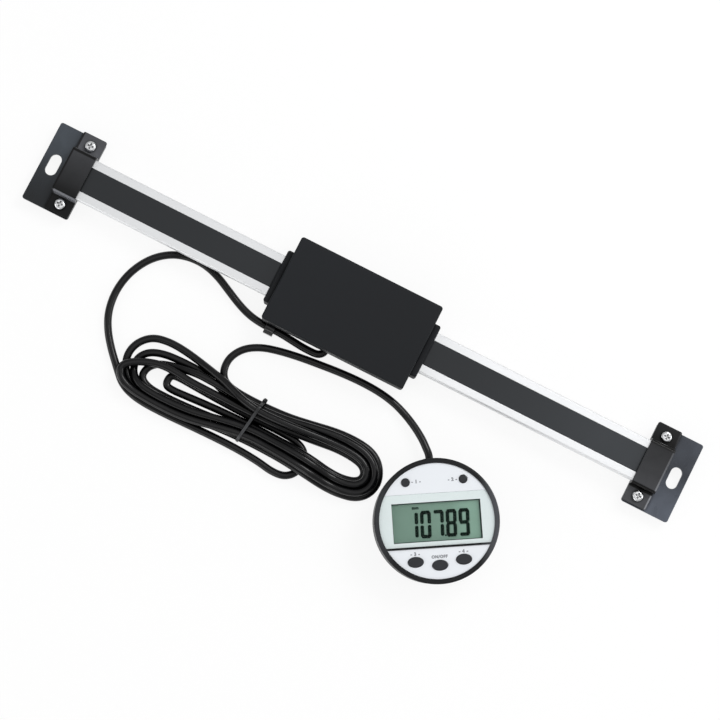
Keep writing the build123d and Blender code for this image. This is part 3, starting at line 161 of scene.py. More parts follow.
READOUT_RUN = (
    (-44.1, -49.8, 1.95), (-43.5, -43.9, 1.95), (-39.5, -37.8, 1.95), (-32.4, -33.5, 1.95),
    (-23.5, -31.1, 1.95), (-13.5, -29.4, 1.95), (-3, -28.2, 1.95), (8, -27.1, 1.95), (19, -26.6, 1.95),
    (28.9, -27, 1.95), (37.6, -28.5, 2.05), (45.3, -31.3, 2.6), (52.2, -34.8, 3.9), (58, -38.6, 5.2),
    (61.2, -41.4, 6), (63.99, -43.72, 6), (64.96, -45.35, 6),
)

# the tie's loop seen from its side: along the tie from its middle, and up, in millimetres
TIE_LOOP = (
    (12.4, 0.5), (12.4, 4.4), (10.4, 8.6), (8.6, 11.5), (5.6, 11.5), (1.6, 9.3), (-2.4, 8.1), (-6.6, 7.9),
    (-9.6, 7.1), (-11.1, 4.4), (-11.5, 0.5), (-6, 0.35), (0, 0.35), (6, 0.35),
)
TIE_THICK = 0.3
TIE_EDGE = 0.15             # rounding of the sleeve's edges, inside its width
WIRE_THICK = 0.62
TWIST_START = (12.0, 4.5)   # along the tie, and up
TWIST_RUN = (0.8, 1.9)
TWIST_REACH = 0.75
TWIST_WIRE_RADIUS = 0.64
TWIST_STEPS = 6
TWIST_STEP_TURN = math.radians(100)
TIE_PLACE = (Matrix.Translation(Vector((-20.5, -68.6, 0)) * MM)
             @ Matrix.Rotation(math.radians(81.4), 4, "Z")
             @ Matrix.Rotation(math.radians(90), 4, "X"))

# ------------------------------------------------------------------ digits of the reading
SEGMENT_PLACES = {  # across in half widths, up in half heights, and whether it stands upright
    "a": (0, 1, False), "b": (1, 1, True), "c": (1, -1, True), "d": (0, -1, False),
    "e": (-1, -1, True), "f": (-1, 1, True), "g": (0, 0, False),
}
LIT = {"0": "abcdef", "1": "bc", "2": "abged", "3": "abgcd", "4": "fgbc", "5": "afgcd",
       "6": "afgedc", "7": "abc", "8": "abcdefg", "9": "abcdfg"}

# ------------------------------------------------------------------ stage, metres, watts and degrees
FLOOR_SIZE = 4
FLOOR_GLOW_SHARE = 0.86     # how much of the floor glows to the eye; the rest keeps the shadow
FLOOR_GLOW = 1.02
ROOM_LIGHT = 0.45
LAMPS = (                   # name, place, width, power
    ("overhead_softbox", (0.12, 0.15, 1.35), 1.5, 3.4),
    ("key_softbox", (0.35, 0.75, 0.9), 0.5, 5.0),
    ("left_softbox", (-1.05, -0.75, 0.45), 0.8, 3.0),
    ("right_softbox", (1.15, 0.45, 0.5), 0.8, 4.0),
    ("front_softbox", (-0.2, -1.3, 0.35), 0.8, 3.0),
)
LAMP_TARGET = (0, -0.04, 0)
CAMERA_PLACE = (0.031294, -0.122097, 0.968656)
CAMERA_TURN = (6.0017, -1.8487, 26.7627)
CAMERA_LENS = 99.63         # millimetres, on a sensor 36 mm wide
CAMERA_SENSOR = 36
CAMERA_NEAR = 0.01


# ------------------------------------------------------------------ sizes and colours to change
class ScaleSizes(PropertyGroup):
    cable_diameter: FloatProperty(name="Cable diameter", description="Outside of the cable's jacket",
                                  default=0.0038, unit="LENGTH", precision=4)
    digit_height: FloatProperty(name="Digit height", description="Height of a digit on the glass",
                                default=0.0131, unit="LENGTH", precision=4)
    digit_width: FloatProperty(name="Digit width", description="Width of a digit on the glass",
                               default=0.00515, unit="LENGTH", precision=5)
    digit_pitch: FloatProperty(name="Digit pitch", description="From one digit to the next",
                               default=0.00612, unit="LENGTH", precision=5)
    segment_width: FloatProperty(name="Segment width", description="Width of a digit's stroke",
                                 default=0.00165, unit="LENGTH", precision=5)
    digit_slant: FloatProperty(name="Digit slant", description="Lean of the digits to the right",
                               default=math.radians(1.5), subtype="ANGLE")
    label_height: FloatProperty(name="Label height", description="Height of the printed key labels",
                                default=0.0016, unit="LENGTH", precision=4)
    tie_width: FloatProperty(name="Tie width", description="Width of the wire tie round the hank",
                             default=0.0015, unit="LENGTH", precision=4)
    reading: StringProperty(name="Reading", description="Number on the glass", default="107.89")


def colour(name, description, default):
    """A colour property."""
    return FloatVectorProperty(name=name, description=description, default=default,
                               subtype="COLOR", min=0, max=1)


class ScaleColours(PropertyGroup):
    bar: colour("Bar", "Anodised aluminium of the measuring bar", (0.86, 0.87, 0.885))
    film: colour("Scale film", "Matt film over the scale's strip", (0.036, 0.040, 0.045))
    # The two plates share one black enamel; the right plate's lighter colour is painted light.
    plate_left: colour("Left plate", "Black enamel on the left slotted plate", (0.052, 0.062, 0.075))
    plate_right: colour("Right plate", "Black enamel on the right slotted plate", (0.085, 0.097, 0.122))
    clamp: colour("End clamps", "Black enamel on the bent clamps", (0.200, 0.206, 0.226))
    screw: colour("Screws", "Bright zinc on the screws", (0.74, 0.75, 0.76))
    cover: colour("Head cover", "Moulded cover of the reading head", (0.0105, 0.0122, 0.0150))
    base: colour("Head base", "Moulded base of the reading head", (0.009, 0.010, 0.012))
    jacket: colour("Cable jacket", "Soft jacket of the cable", (0.0045, 0.0045, 0.0052))
    case: colour("Readout case", "Moulded case of the readout", (0.070, 0.074, 0.082))
    panel: colour("Readout panel", "White face of the readout", (0.85, 0.88, 0.92))
    window: colour("Window print", "Print round the window", (0.74, 0.82, 0.82))
    glass: colour("Display glass", "Reflector of the liquid crystal display", (0.235, 0.385, 0.305))
    segment: colour("Segments", "Dark segments of the display", (0.002, 0.010, 0.006))
    # the gasket's dark green is partly painted shadow on the reflector inside the window's edge
    gasket: colour("Gasket", "Foam gasket between the glass and the case", (0.020, 0.045, 0.037))
    key: colour("Keys", "Rubber keys of the readout", (0.030, 0.032, 0.036))
    label: colour("Labels", "Print on the readout's face", (0.24, 0.25, 0.27))


# ------------------------------------------------------------------ finishes
NOISE_REACH = (0.3, 0.7)    # noise seldom leaves these values
GLOSS_SPREAD = 0.18         # the cloud's share in a surface's roughness
# the next two lines set the painted shade in corners and recesses
CORNER_SHARE = 0.12         # what is left of the tone in the narrowest corner
OPEN_SKY = 0.92             # a place as open as this keeps its whole tone
# the next line sets where edges get painted scuffing and highlight
EDGE_START, EDGE_END = 0.98, 0.75           # agreement of the rounded normal and the flat one
CORNER_SAMPLES = 8
EDGE_SAMPLES = 6


def link(tree, source, socket, target, name):
    tree.links.new(source.outputs[socket], target.inputs[name])


def noise(tree, scale, stretch=(1, 1, 1), distortion=0.0):
    """Noise over the piece's own place, drawn out by stretch."""
    place = tree.nodes.new("ShaderNodeTexCoord")
    mapping = tree.nodes.new("ShaderNodeMapping")
    mapping.inputs["Scale"].default_value = stretch
    grain = tree.nodes.new("ShaderNodeTexNoise")
    grain.inputs["Scale"].default_value = scale
    grain.inputs["Detail"].default_value = 3.0
    grain.inputs["Distortion"].default_value = distortion
    link(tree, place, "Object", mapping, "Vector")
    link(tree, mapping, "Vector", grain, "Vector")
    return grain


def spread(tree, source, socket, low, high):
    """A value that follows the source between low and high."""
    ranged = tree.nodes.new("ShaderNodeMapRange")
    ranged.inputs["From Min"].default_value = NOISE_REACH[0]
    ranged.inputs["From Max"].default_value = NOISE_REACH[1]
    ranged.inputs["To Min"].default_value = low
    ranged.inputs["To Max"].default_value = high
    link(tree, source, socket, ranged, "Value")
    return ranged


def tones(tree, source, socket, dark, light):
    """A colour that follows the source from dark to light."""
    ramp = tree.nodes.new("ShaderNodeValToRGB")
    for stop, shade, place in zip(ramp.color_ramp.elements, (dark, light), NOISE_REACH):
        stop.color = (*[min(1.0, part) for part in shade], 1)
        stop.position = place
    link(tree, source, socket, ramp, "Fac")
    return ramp


def shaded(base, amount):
    """The colour, darker below an amount of 1 and lighter above it."""
    return tuple(part * amount for part in base)


def share_along(tree, direction, stops):
    """A grey that runs through stops, each a place along a direction in millimetres and a share."""
    place = tree.nodes.new("ShaderNodeTexCoord")
    along = tree.nodes.new("ShaderNodeVectorMath")
    along.operation = "DOT_PRODUCT"
    along.inputs[1].default_value = direction
    tree.links.new(place.outputs["Object"], along.inputs[0])
    first, last = stops[0][0], stops[-1][0]
    ranged = tree.nodes.new("ShaderNodeMapRange")
    ranged.inputs["From Min"].default_value = first * MM
    ranged.inputs["From Max"].default_value = last * MM
    link(tree, along, "Value", ranged, "Value")
    ramp = tree.nodes.new("ShaderNodeValToRGB")
    points = ramp.color_ramp.elements
    while len(points) < len(stops):
        points.new(0.5)
    for point, (where, share) in zip(points, stops):
        point.position = (where - first) / (last - first)
        point.color = (share, share, share, 1)
    link(tree, ranged, "Result", ramp, "Fac")
    return ramp.outputs["Color"]


def multiplied(tree, tone, share):
    """The tone times the share, colour by colour."""
    lit = tree.nodes.new("ShaderNodeVectorMath")
    lit.operation = "MULTIPLY"
    tree.links.new(tone, lit.inputs[0])
    tree.links.new(share, lit.inputs[1])
    return lit.outputs["Vector"]


def reckoned(tree, operation, first, second):
    """The result of a sum or product, held between 0 and 1; the second may be a number."""
    node = tree.nodes.new("ShaderNodeMath")
    node.operation = operation
    node.use_clamp = True
    tree.links.new(first, node.inputs[0])
    if isinstance(second, float):
        node.inputs[1].default_value = second
    else:
        tree.links.new(second, node.inputs[1])
    return node.outputs["Value"]


def painted_corner_shade(tree, tone, surface, reach, shine):
    """Paints shade into tone and shine in corners and recesses that are narrower than the reach."""
    open_sky = tree.nodes.new("ShaderNodeAmbientOcclusion")
    open_sky.samples = CORNER_SAMPLES
    open_sky.inputs["Distance"].default_value = reach
    kept = spread(tree, open_sky, "AO", CORNER_SHARE, 1.0)
    kept.inputs["From Max"].default_value = OPEN_SKY
    darker = tree.nodes.new("ShaderNodeVectorMath")
    darker.operation = "SCALE"
    tree.links.new(tone, darker.inputs[0])
    link(tree, kept, "Result", darker, "Scale")
    less = reckoned(tree, "MULTIPLY", kept.outputs["Result"], shine)
    tree.links.new(less, surface.inputs["Specular IOR Level"])
    return darker.outputs["Vector"]


def worn_and_lit_edges(tree, tone, rounded, base, wear_and_glint):
    """Lifts the tone where the rounded normal leaves the flat one: painted scuffing and painted highlight
    on the edges.
    """
    flat = tree.nodes.new("ShaderNodeNewGeometry")
    agree = tree.nodes.new("ShaderNodeVectorMath")
    agree.operation = "DOT_PRODUCT"
    tree.links.new(rounded.outputs["Normal"], agree.inputs[0])
    tree.links.new(flat.outputs["Normal"], agree.inputs[1])
    rubbed_and_lit = tree.nodes.new("ShaderNodeMapRange")
    rubbed_and_lit.inputs["From Min"].default_value = EDGE_START
    rubbed_and_lit.inputs["From Max"].default_value = EDGE_END
    link(tree, agree, "Value", rubbed_and_lit, "Value")
    mixed = tree.nodes.new("ShaderNodeMixRGB")
    link(tree, rubbed_and_lit, "Result", mixed, "Fac")
    tree.links.new(tone, mixed.inputs["Color1"])
    mixed.inputs["Color2"].default_value = (*[min(1.0, part * wear_and_glint) for part in base], 1)
    return mixed.outputs["Color"]


def finish(name, base, roughness, grain_scale, cloud_scale=60.0, stretch=(1, 1, 1), shade=0.10,
           relief=0.15, depth=0.00004, edge=0.0, wear_and_glint=1.0, corner_shade_reach=0.0, shine=0.5,
           painted_light_fade=None, painted_light_band=None, polish=None, **fixed):
    """A moulded, painted or metal surface: fine grain in the relief, a slow cloud in tone and gloss.

    An edge radius lets sharp edges catch the light and changes their tone as painted scuffing and
    highlight. A reach for corners paints shade into corners and recesses. A gradient or strip of
    (direction, stops) paints light and shade into the tone along the piece, and a polish of (direction,
    stops) changes the shine along it."""
    material = bpy.data.materials.new(name)
    material.use_nodes = True
    tree = material.node_tree
    surface = tree.nodes["Principled BSDF"]
    surface.inputs["Specular IOR Level"].default_value = shine
    grain = noise(tree, grain_scale, stretch)
    cloud = noise(tree, cloud_scale, distortion=0.6)
    tone = tones(tree, cloud, "Fac", shaded(base, 1 - shade), shaded(base, 1 + shade)).outputs["Color"]
    gloss = spread(tree, cloud, "Fac", roughness * (1 - GLOSS_SPREAD),
                   min(1.0, roughness * (1 + GLOSS_SPREAD)))
    link(tree, gloss, "Result", surface, "Roughness")
    bump = tree.nodes.new("ShaderNodeBump")
    bump.inputs["Strength"].default_value = relief
    bump.inputs["Distance"].default_value = depth
    link(tree, grain, "Fac", bump, "Height")
    link(tree, bump, "Normal", surface, "Normal")
    # the gradient and the strip paint light and shade into the tone
    for change in (painted_light_fade, painted_light_band):
        if change:
            tone = multiplied(tree, tone, share_along(tree, *change))
    if polish:
        polished = reckoned(tree, "MULTIPLY", share_along(tree, *polish), shine)
        tree.links.new(polished, surface.inputs["Specular IOR Level"])
    # rounded edges, with their tone changed as painted scuffing and highlight
    if edge:
        rounded = tree.nodes.new("ShaderNodeBevel")
        rounded.samples = EDGE_SAMPLES
        rounded.inputs["Radius"].default_value = edge
        link(tree, rounded, "Normal", bump, "Normal")
        tone = worn_and_lit_edges(tree, tone, rounded, base, wear_and_glint)
    # painted shade in corners and recesses
    if corner_shade_reach:
        tone = painted_corner_shade(tree, tone, surface, corner_shade_reach, shine)
    tree.links.new(tone, surface.inputs["Base Color"])
    for socket, value in fixed.items():
        surface.inputs[socket.replace("_", " ")].default_value = value
    return material


def dress(material, *names):
    """Gives CAD nodes their finish."""
    for name in names:
        slots = NODES[name].data.materials
        slots.clear()
        slots.append(material)


# ------------------------------------------------------------------ modelling helpers
def nothing_selected():
    """Leaves edit mode and deselects everything."""
    if bpy.context.mode != "OBJECT":
        bpy.ops.object.mode_set(mode="OBJECT")
    bpy.ops.object.select_all(action="DESELECT")


def only(piece):
    """Leaves the piece alone selected and active."""
    nothing_selected()
    piece.select_set(True)
    bpy.context.view_layer.objects.active = piece


def settle(piece, place):
    """Puts the piece at a place and leaves its object at the origin."""
    piece.matrix_world = place @ piece.matrix_world
    only(piece)
    bpy.ops.object.transform_apply(location=True, rotation=True, scale=True)


def joined(pieces, name):
    """Makes one piece of several."""
    nothing_selected()
    for piece in pieces:
        piece.select_set(True)
    bpy.context.view_layer.objects.active = pieces[0]
    if len(pieces) > 1:
        bpy.ops.object.join()
    pieces[0].name = name
    return pieces[0]


def outward(piece):
    """Closes seams and turns the faces outward."""
    only(piece)
    bpy.ops.object.mode_set(mode="EDIT")
    bpy.ops.mesh.select_all(action="SELECT")
    bpy.ops.mesh.remove_doubles(threshold=0.000001)
    bpy.ops.mesh.normals_make_consistent(inside=False)
    bpy.ops.object.mode_set(mode="OBJECT")


def soften(piece, width, segments=2):
    """Rounds the piece's sharp edges with a bevel that is applied."""
    only(piece)
    rounding = piece.modifiers.new("rounding", "BEVEL")
    rounding.width = width
    rounding.segments = segments
    rounding.limit_method = "ANGLE"
    bpy.ops.object.modifier_apply(modifier=rounding.name)


def add_piece(piece, material, body):
    """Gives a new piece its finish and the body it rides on."""
    piece.data.materials.clear()
    piece.data.materials.append(material)
    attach(piece, body)


# ------------------------------------------------------------------ operators
class SCALE_OT_bar(Operator):
    """Finishes the measuring bar, its strip and the printed film"""
    bl_idname = "scale.bar"
    bl_label = "Measuring bar"

    def execute(self, context):
        colours = context.scene.scale_colours
        # The bar darkens towards the left as painted reflection, and its edges carry painted scuffing and
        # highlight.
        dress(finish("drawn_aluminium", colours.bar, 0.42, 900, cloud_scale=24, stretch=(0.02, 1, 1),
                     shade=0.02, relief=0.25, depth=0.00002, edge=0.0003, wear_and_glint=0.75,
                     painted_light_fade=((1, 0, 0), ((-110, 0.92), (0, 0.95), (70, 1.0))), Metallic=0.5), "beam_bar")
        dress(finish("strip_core", shaded(colours.film, 0.8), 0.5, 1400), "scale_strip")
        # The film lightens towards the right as painted reflection and takes painted shade in its corners.
        dress(finish("matt_film", colours.film, 0.40, 2600, cloud_scale=14, shade=0.07, relief=0.22,
                     depth=0.00003, corner_shade_reach=0.0012, shine=0.26,
                     painted_light_fade=((1, 0, 0), ((-130, 0.56), (60, 0.60), (110, 0.80), (135, 1.0)))), "strip_film")
        return {"FINISHED"}


class SCALE_OT_brackets(Operator):
    """Finishes the end brackets, their clamps and screws"""
    bl_idname = "scale.brackets"
    bl_label = "End brackets"

    def execute(self, context):
        colours = context.scene.scale_colours
        along, across = (1, 0, 0), (0, 1, 0)
        # The plates' gradients across the bar are painted sheen and shade. Their edge lift is painted
        # scuffing and highlight, and their darkened corners are painted shade.
        dress(finish("left_plate_enamel", colours.plate_left, 0.30, 1500, cloud_scale=90, shade=0.14,
                     relief=0.16, edge=0.0005, wear_and_glint=1.0, corner_shade_reach=0.0035, shine=0.3,
                     painted_light_fade=(across, ((-18, 0.20), (-6, 0.42), (4, 0.85), (14, 1.0)))),
              "bracket_plate_left")
        dress(finish("right_plate_enamel", colours.plate_right, 0.30, 1500, cloud_scale=90, shade=0.14,
                     relief=0.16, edge=0.0005, wear_and_glint=1.8, corner_shade_reach=0.002, shine=0.3,
                     painted_light_fade=(across, ((-16, 1.0), (-8, 0.85), (2, 0.42), (14, 0.55)))),
              "bracket_plate_right")
        # Both clamps are one enamel: the right clamp's fourfold colour is painted light. The gradients and
        # strips paint their sheen, the lit wall of the left clamp, the dark step lines, a dark line along
        # the left clamp's west edge and a highlight along the right clamp's east edge.
        dress(finish("left_clamp_enamel", colours.clamp, 0.34, 1500, cloud_scale=120, shade=0.12,
                     relief=0.16, edge=0.0007, wear_and_glint=0.12, corner_shade_reach=0.0014, shine=0.2,
                     painted_light_fade=(across, ((-19, 0.012), (-12.5, 0.016), (-12.1, 1.0), (-11.3, 1.0),
                                    (-10.9, 0.023), (-9, 0.03), (-5, 0.08), (6, 0.165), (9.9, 0.21),
                                    (10.4, 0.02), (11.6, 0.02), (12.1, 1.0), (12.7, 0.55),
                                    (19, 0.39))),
                     painted_light_band=(along, ((-157.5, 0.15), (-156.7, 0.15), (-156.3, 1.0), (-144.7, 1.0)))),
              "end_clamp_left")
        dress(finish("right_clamp_enamel", shaded(colours.clamp, 4), 0.34, 1500, cloud_scale=120,
                     shade=0.12, relief=0.16, edge=0.0007, wear_and_glint=0.06, corner_shade_reach=0.0014, shine=0.2,
                     painted_light_fade=(across, ((-19, 0.30), (-13.3, 0.39), (-12.8, 0.01), (-11.0, 0.01),
                                    (-10.5, 0.25), (0, 0.155), (9.6, 0.10), (10.1, 0.004),
                                    (11.8, 0.004), (12.3, 0.010), (14, 0.008), (19, 0.047))),
                     painted_light_band=(along, ((156.7, 0.25), (168.4, 0.25), (168.8, 1.0), (169.5, 1.0)))),
              "end_clamp_right")
        # The screws take painted shade in their cross recesses and painted scuffing and highlight on their
        # edges.
        dress(finish("bright_zinc", colours.screw, 0.17, 900, cloud_scale=700, shade=0.16, relief=0.12,
                     edge=0.00025, wear_and_glint=0.5, corner_shade_reach=0.0011, Metallic=1.0),
              "clamp_screws_left", "clamp_screws_right")
        return {"FINISHED"}


class SCALE_OT_head(Operator):
    """Finishes the reading head, its wipers, cable clip and inner parts"""
    bl_idname = "scale.head"
    bl_label = "Reading head"

    def execute(self, context):
        # In this operator edge lift is painted scuffing and highlight, and darkened corners are painted
        # shade.
        colours = context.scene.scale_colours
        # The cover lightens towards the north-west and darkens to the south-east as painted light and
        # shade.
        dress(finish("cover_texture", colours.cover, 0.50, 3200, cloud_scale=30, shade=0.08, relief=0.35,
                     edge=0.0005, wear_and_glint=2.6, shine=0.2,
                     painted_light_fade=((-0.87, 0.49, 0), ((-38, 0.75), (0, 0.84), (38, 1.0)))), "head_cover")
        dress(finish("base_texture", colours.base, 0.5, 2600, cloud_scale=40, relief=0.3,
                     edge=0.0003, wear_and_glint=2.5, shine=0.2), "head_base")
        dress(finish("wiper_rubber", (0.010, 0.011, 0.013), 0.58, 1800, cloud_scale=90, relief=0.35,
                     edge=0.0005, wear_and_glint=2.2, corner_shade_reach=0.0015, shine=0.16), "wiper_left", "wiper_right")
        dress(finish("wiper_felt", (0.05, 0.05, 0.052), 0.95, 3500, cloud_scale=700, shade=0.35,
                     relief=0.9, depth=0.0002, Sheen_Weight=0.4), "wiper_felt_left", "wiper_felt_right")
        dress(finish("clip_nylon", (0.008, 0.008, 0.009), 0.16, 900, cloud_scale=120, edge=0.0006,
                     wear_and_glint=3.0, corner_shade_reach=0.001), "cable_clip")
        dress(finish("bore_grommet", (0.012, 0.012, 0.013), 0.5, 1500, cloud_scale=150, edge=0.0002,
                     wear_and_glint=2.0), "cable_gland")
        dress(finish("gib_brass", (0.62, 0.45, 0.17), 0.32, 700, stretch=(0.05, 1, 1), edge=0.0002,
                     wear_and_glint=1.3, Metallic=1.0), "gib_strip")
        dress(finish("spring_steel", (0.5, 0.5, 0.52), 0.28, 700, Metallic=1.0), "gib_springs")
        dress(finish("board_lacquer", (0.012, 0.11, 0.045), 0.3, 500, cloud_scale=260, shade=0.3,
                     Coat_Weight=0.4), "reader_board", "display_board")
        dress(finish("chip_epoxy", (0.02, 0.02, 0.022), 0.55, 2500, edge=0.0002, wear_and_glint=2.0),
              "reader_chips", "display_chips")
        dress(finish("steel_screw", (0.55, 0.55, 0.57), 0.3, 900, cloud_scale=500, edge=0.0002, wear_and_glint=0.6,
                     Metallic=1.0),
              "cover_screws", "reader_board_screws", "display_board_screws", "back_screws")
        return {"FINISHED"}


class SCALE_OT_readout(Operator):
    """Finishes the readout's case, face, keys and inner parts"""
    bl_idname = "scale.readout"
    bl_label = "Readout"

    def execute(self, context):
        # In this operator edge lift is painted scuffing and highlight.
        colours = context.scene.scale_colours
        # The case's rim lightens at its left and right sides as painted reflection.
        dress(finish("case_satin", colours.case, 0.30, 1500, cloud_scale=40, shade=0.12, relief=0.12,
                     edge=0.0004, wear_and_glint=0.35, shine=0.2,
                     polish=((0, 0, 1), ((0, 0.25), (5, 0.06), (19.8, 0.02), (20.8, 1.0))),
                     painted_light_fade=((0.891, 0.454, 0), ((9.9, 0.12), (10.6, 0.5), (13, 0.45), (19, 0.12), (60, 0.12),
                                               (65, 0.8), (69, 1.0), (69.9, 0.2)))), "display_case")
        dress(finish("back_texture", shaded(colours.case, 0.17), 0.5, 2600, relief=0.35, edge=0.0003,
                     wear_and_glint=2.0, shine=0.3), "back_cover", "battery_cover")
        dress(finish("white_face", colours.panel, 0.36, 3800, cloud_scale=50, shade=0.01, relief=0.1,
                     depth=0.00001), "upper_panel", "lower_panel")
        dress(finish("window_print", colours.window, 0.35, 2500, cloud_scale=70, shade=0.015, relief=0.05),
              "window_mask")
        # The glass lightens towards the right as painted light.
        dress(finish("crystal_glass", colours.glass, 0.18, 2200, cloud_scale=34, shade=0.05, relief=0.05,
                     depth=0.00001, shine=0.2,
                     painted_light_fade=((0.8607, 0.5090, 0), ((16, 0.70), (40, 0.76), (50, 1.0)))), "lcd_glass")
        dress(finish("key_rubber", colours.key, 0.42, 2400, cloud_scale=300, relief=0.25, edge=0.0003,
                     wear_and_glint=1.5, shine=0.2), "button_round_left", "button_round_right", "button_oval_left",
              "button_oval_middle", "button_oval_right")
        dress(finish("gland_rubber", (0.010, 0.010, 0.011), 0.45, 1500, edge=0.0002, wear_and_glint=2.0, shine=0.3),
              "display_gland")
        dress(finish("key_mat", (0.35, 0.36, 0.37), 0.6, 1200), "keypad_mat")
        dress(finish("zebra_rubber", (0.35, 0.2, 0.22), 0.6, 900, stretch=(6, 1, 1), shade=0.4),
              "zebra_strips")
        dress(finish("magnet_nickel", (0.6, 0.59, 0.57), 0.22, 600, cloud_scale=300, edge=0.0003, wear_and_glint=0.8,
                     Metallic=1.0), "magnets")
        dress(finish("cell_steel", (0.62, 0.62, 0.63), 0.25, 800, stretch=(1, 8, 1), Metallic=1.0),
              "battery_cell")
        dress(finish("contact_brass", (0.7, 0.55, 0.25), 0.25, 800, Metallic=1.0), "battery_contacts")
        return {"FINISHED"}


class SCALE_OT_lens(Operator):
    """Models the clear lens over the window, a round plate cut straight above and below"""
    bl_idname = "scale.lens"
    bl_label = "Window lens"

    def execute(self, context):
        nothing_selected()
        bpy.ops.mesh.primitive_circle_add(vertices=LENS_SIDES, radius=LENS_RADIUS * MM, fill_type="NGON")
        lens = context.object
        lens.name = "window_lens"
        bpy.ops.object.mode_set(mode="EDIT")
        for height, above in ((LENS_TOP * MM, True), (LENS_BOTTOM * MM, False)):
            bpy.ops.mesh.select_all(action="SELECT")
            bpy.ops.mesh.bisect(plane_co=(0, height, 0), plane_no=(0, 1, 0),
                                clear_outer=above, clear_inner=not above)
        bpy.ops.mesh.select_all(action="SELECT")
        bpy.ops.mesh.extrude_region_move(TRANSFORM_OT_translate={"value": (0, 0, LENS_THICK * MM)})
        bpy.ops.object.mode_set(mode="OBJECT")
        outward(lens)
        soften(lens, LENS_RIM * MM)
        settle(lens, READOUT @ Matrix.Translation((0, 0, MASK_TOP + 2 * HAIR)))
        glass = finish("clear_lens", (0.75, 0.86, 0.82), 0.05, 300, cloud_scale=90, shade=0.02,
                       relief=0.01, depth=0.000005, Alpha=0.006, IOR=1.49)
        add_piece(lens, glass, "head")
        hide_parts("display_lens")
        return {"FINISHED"}


class SCALE_OT_gasket(Operator):
    """Models a thin dark frame between the window's edge and the glass: partly a foam gasket, partly
    painted shadow of the window's edge
    """
    bl_idname = "scale.gasket"
    bl_label = "Window gasket"

    def execute(self, context):
        nothing_selected()
        bpy.ops.mesh.primitive_plane_add(size=1)
        gasket = context.object
        gasket.name = "window_gasket_and_shadow"
        gasket.scale = (GASKET_SIZE[0] * MM, GASKET_SIZE[1] * MM, 1)
        gasket.location = Vector((*GASKET_MIDDLE, 0)) * MM
        bpy.ops.object.transform_apply(location=True, rotation=True, scale=True)
        bpy.ops.object.mode_set(mode="EDIT")
        bpy.ops.mesh.inset(thickness=GASKET_WIDTH * MM)
        bpy.ops.transform.translate(value=Vector((*GASKET_INNER_SHIFT, 0)) * MM)
        bpy.ops.mesh.delete(type="FACE")
        bpy.ops.mesh.select_all(action="SELECT")
        bpy.ops.mesh.extrude_region_move(TRANSFORM_OT_translate={"value": (0, 0, GASKET_THICK * MM)})
        bpy.ops.object.mode_set(mode="OBJECT")
        outward(gasket)
        soften(gasket, GASKET_RIM * MM)
        settle(gasket, READOUT @ Matrix.Translation((0, 0, GLASS_TOP + 2 * HAIR)))
        # dark green of a shadow on the reflector: partly painted shadow
        frame_and_shadow = finish("gasket_foam_and_shadow", context.scene.scale_colours.gasket, 0.8, 4000, cloud_scale=900,
                      shade=0.2, relief=0.5)
        add_piece(gasket, frame_and_shadow, "head")
        return {"FINISHED"}


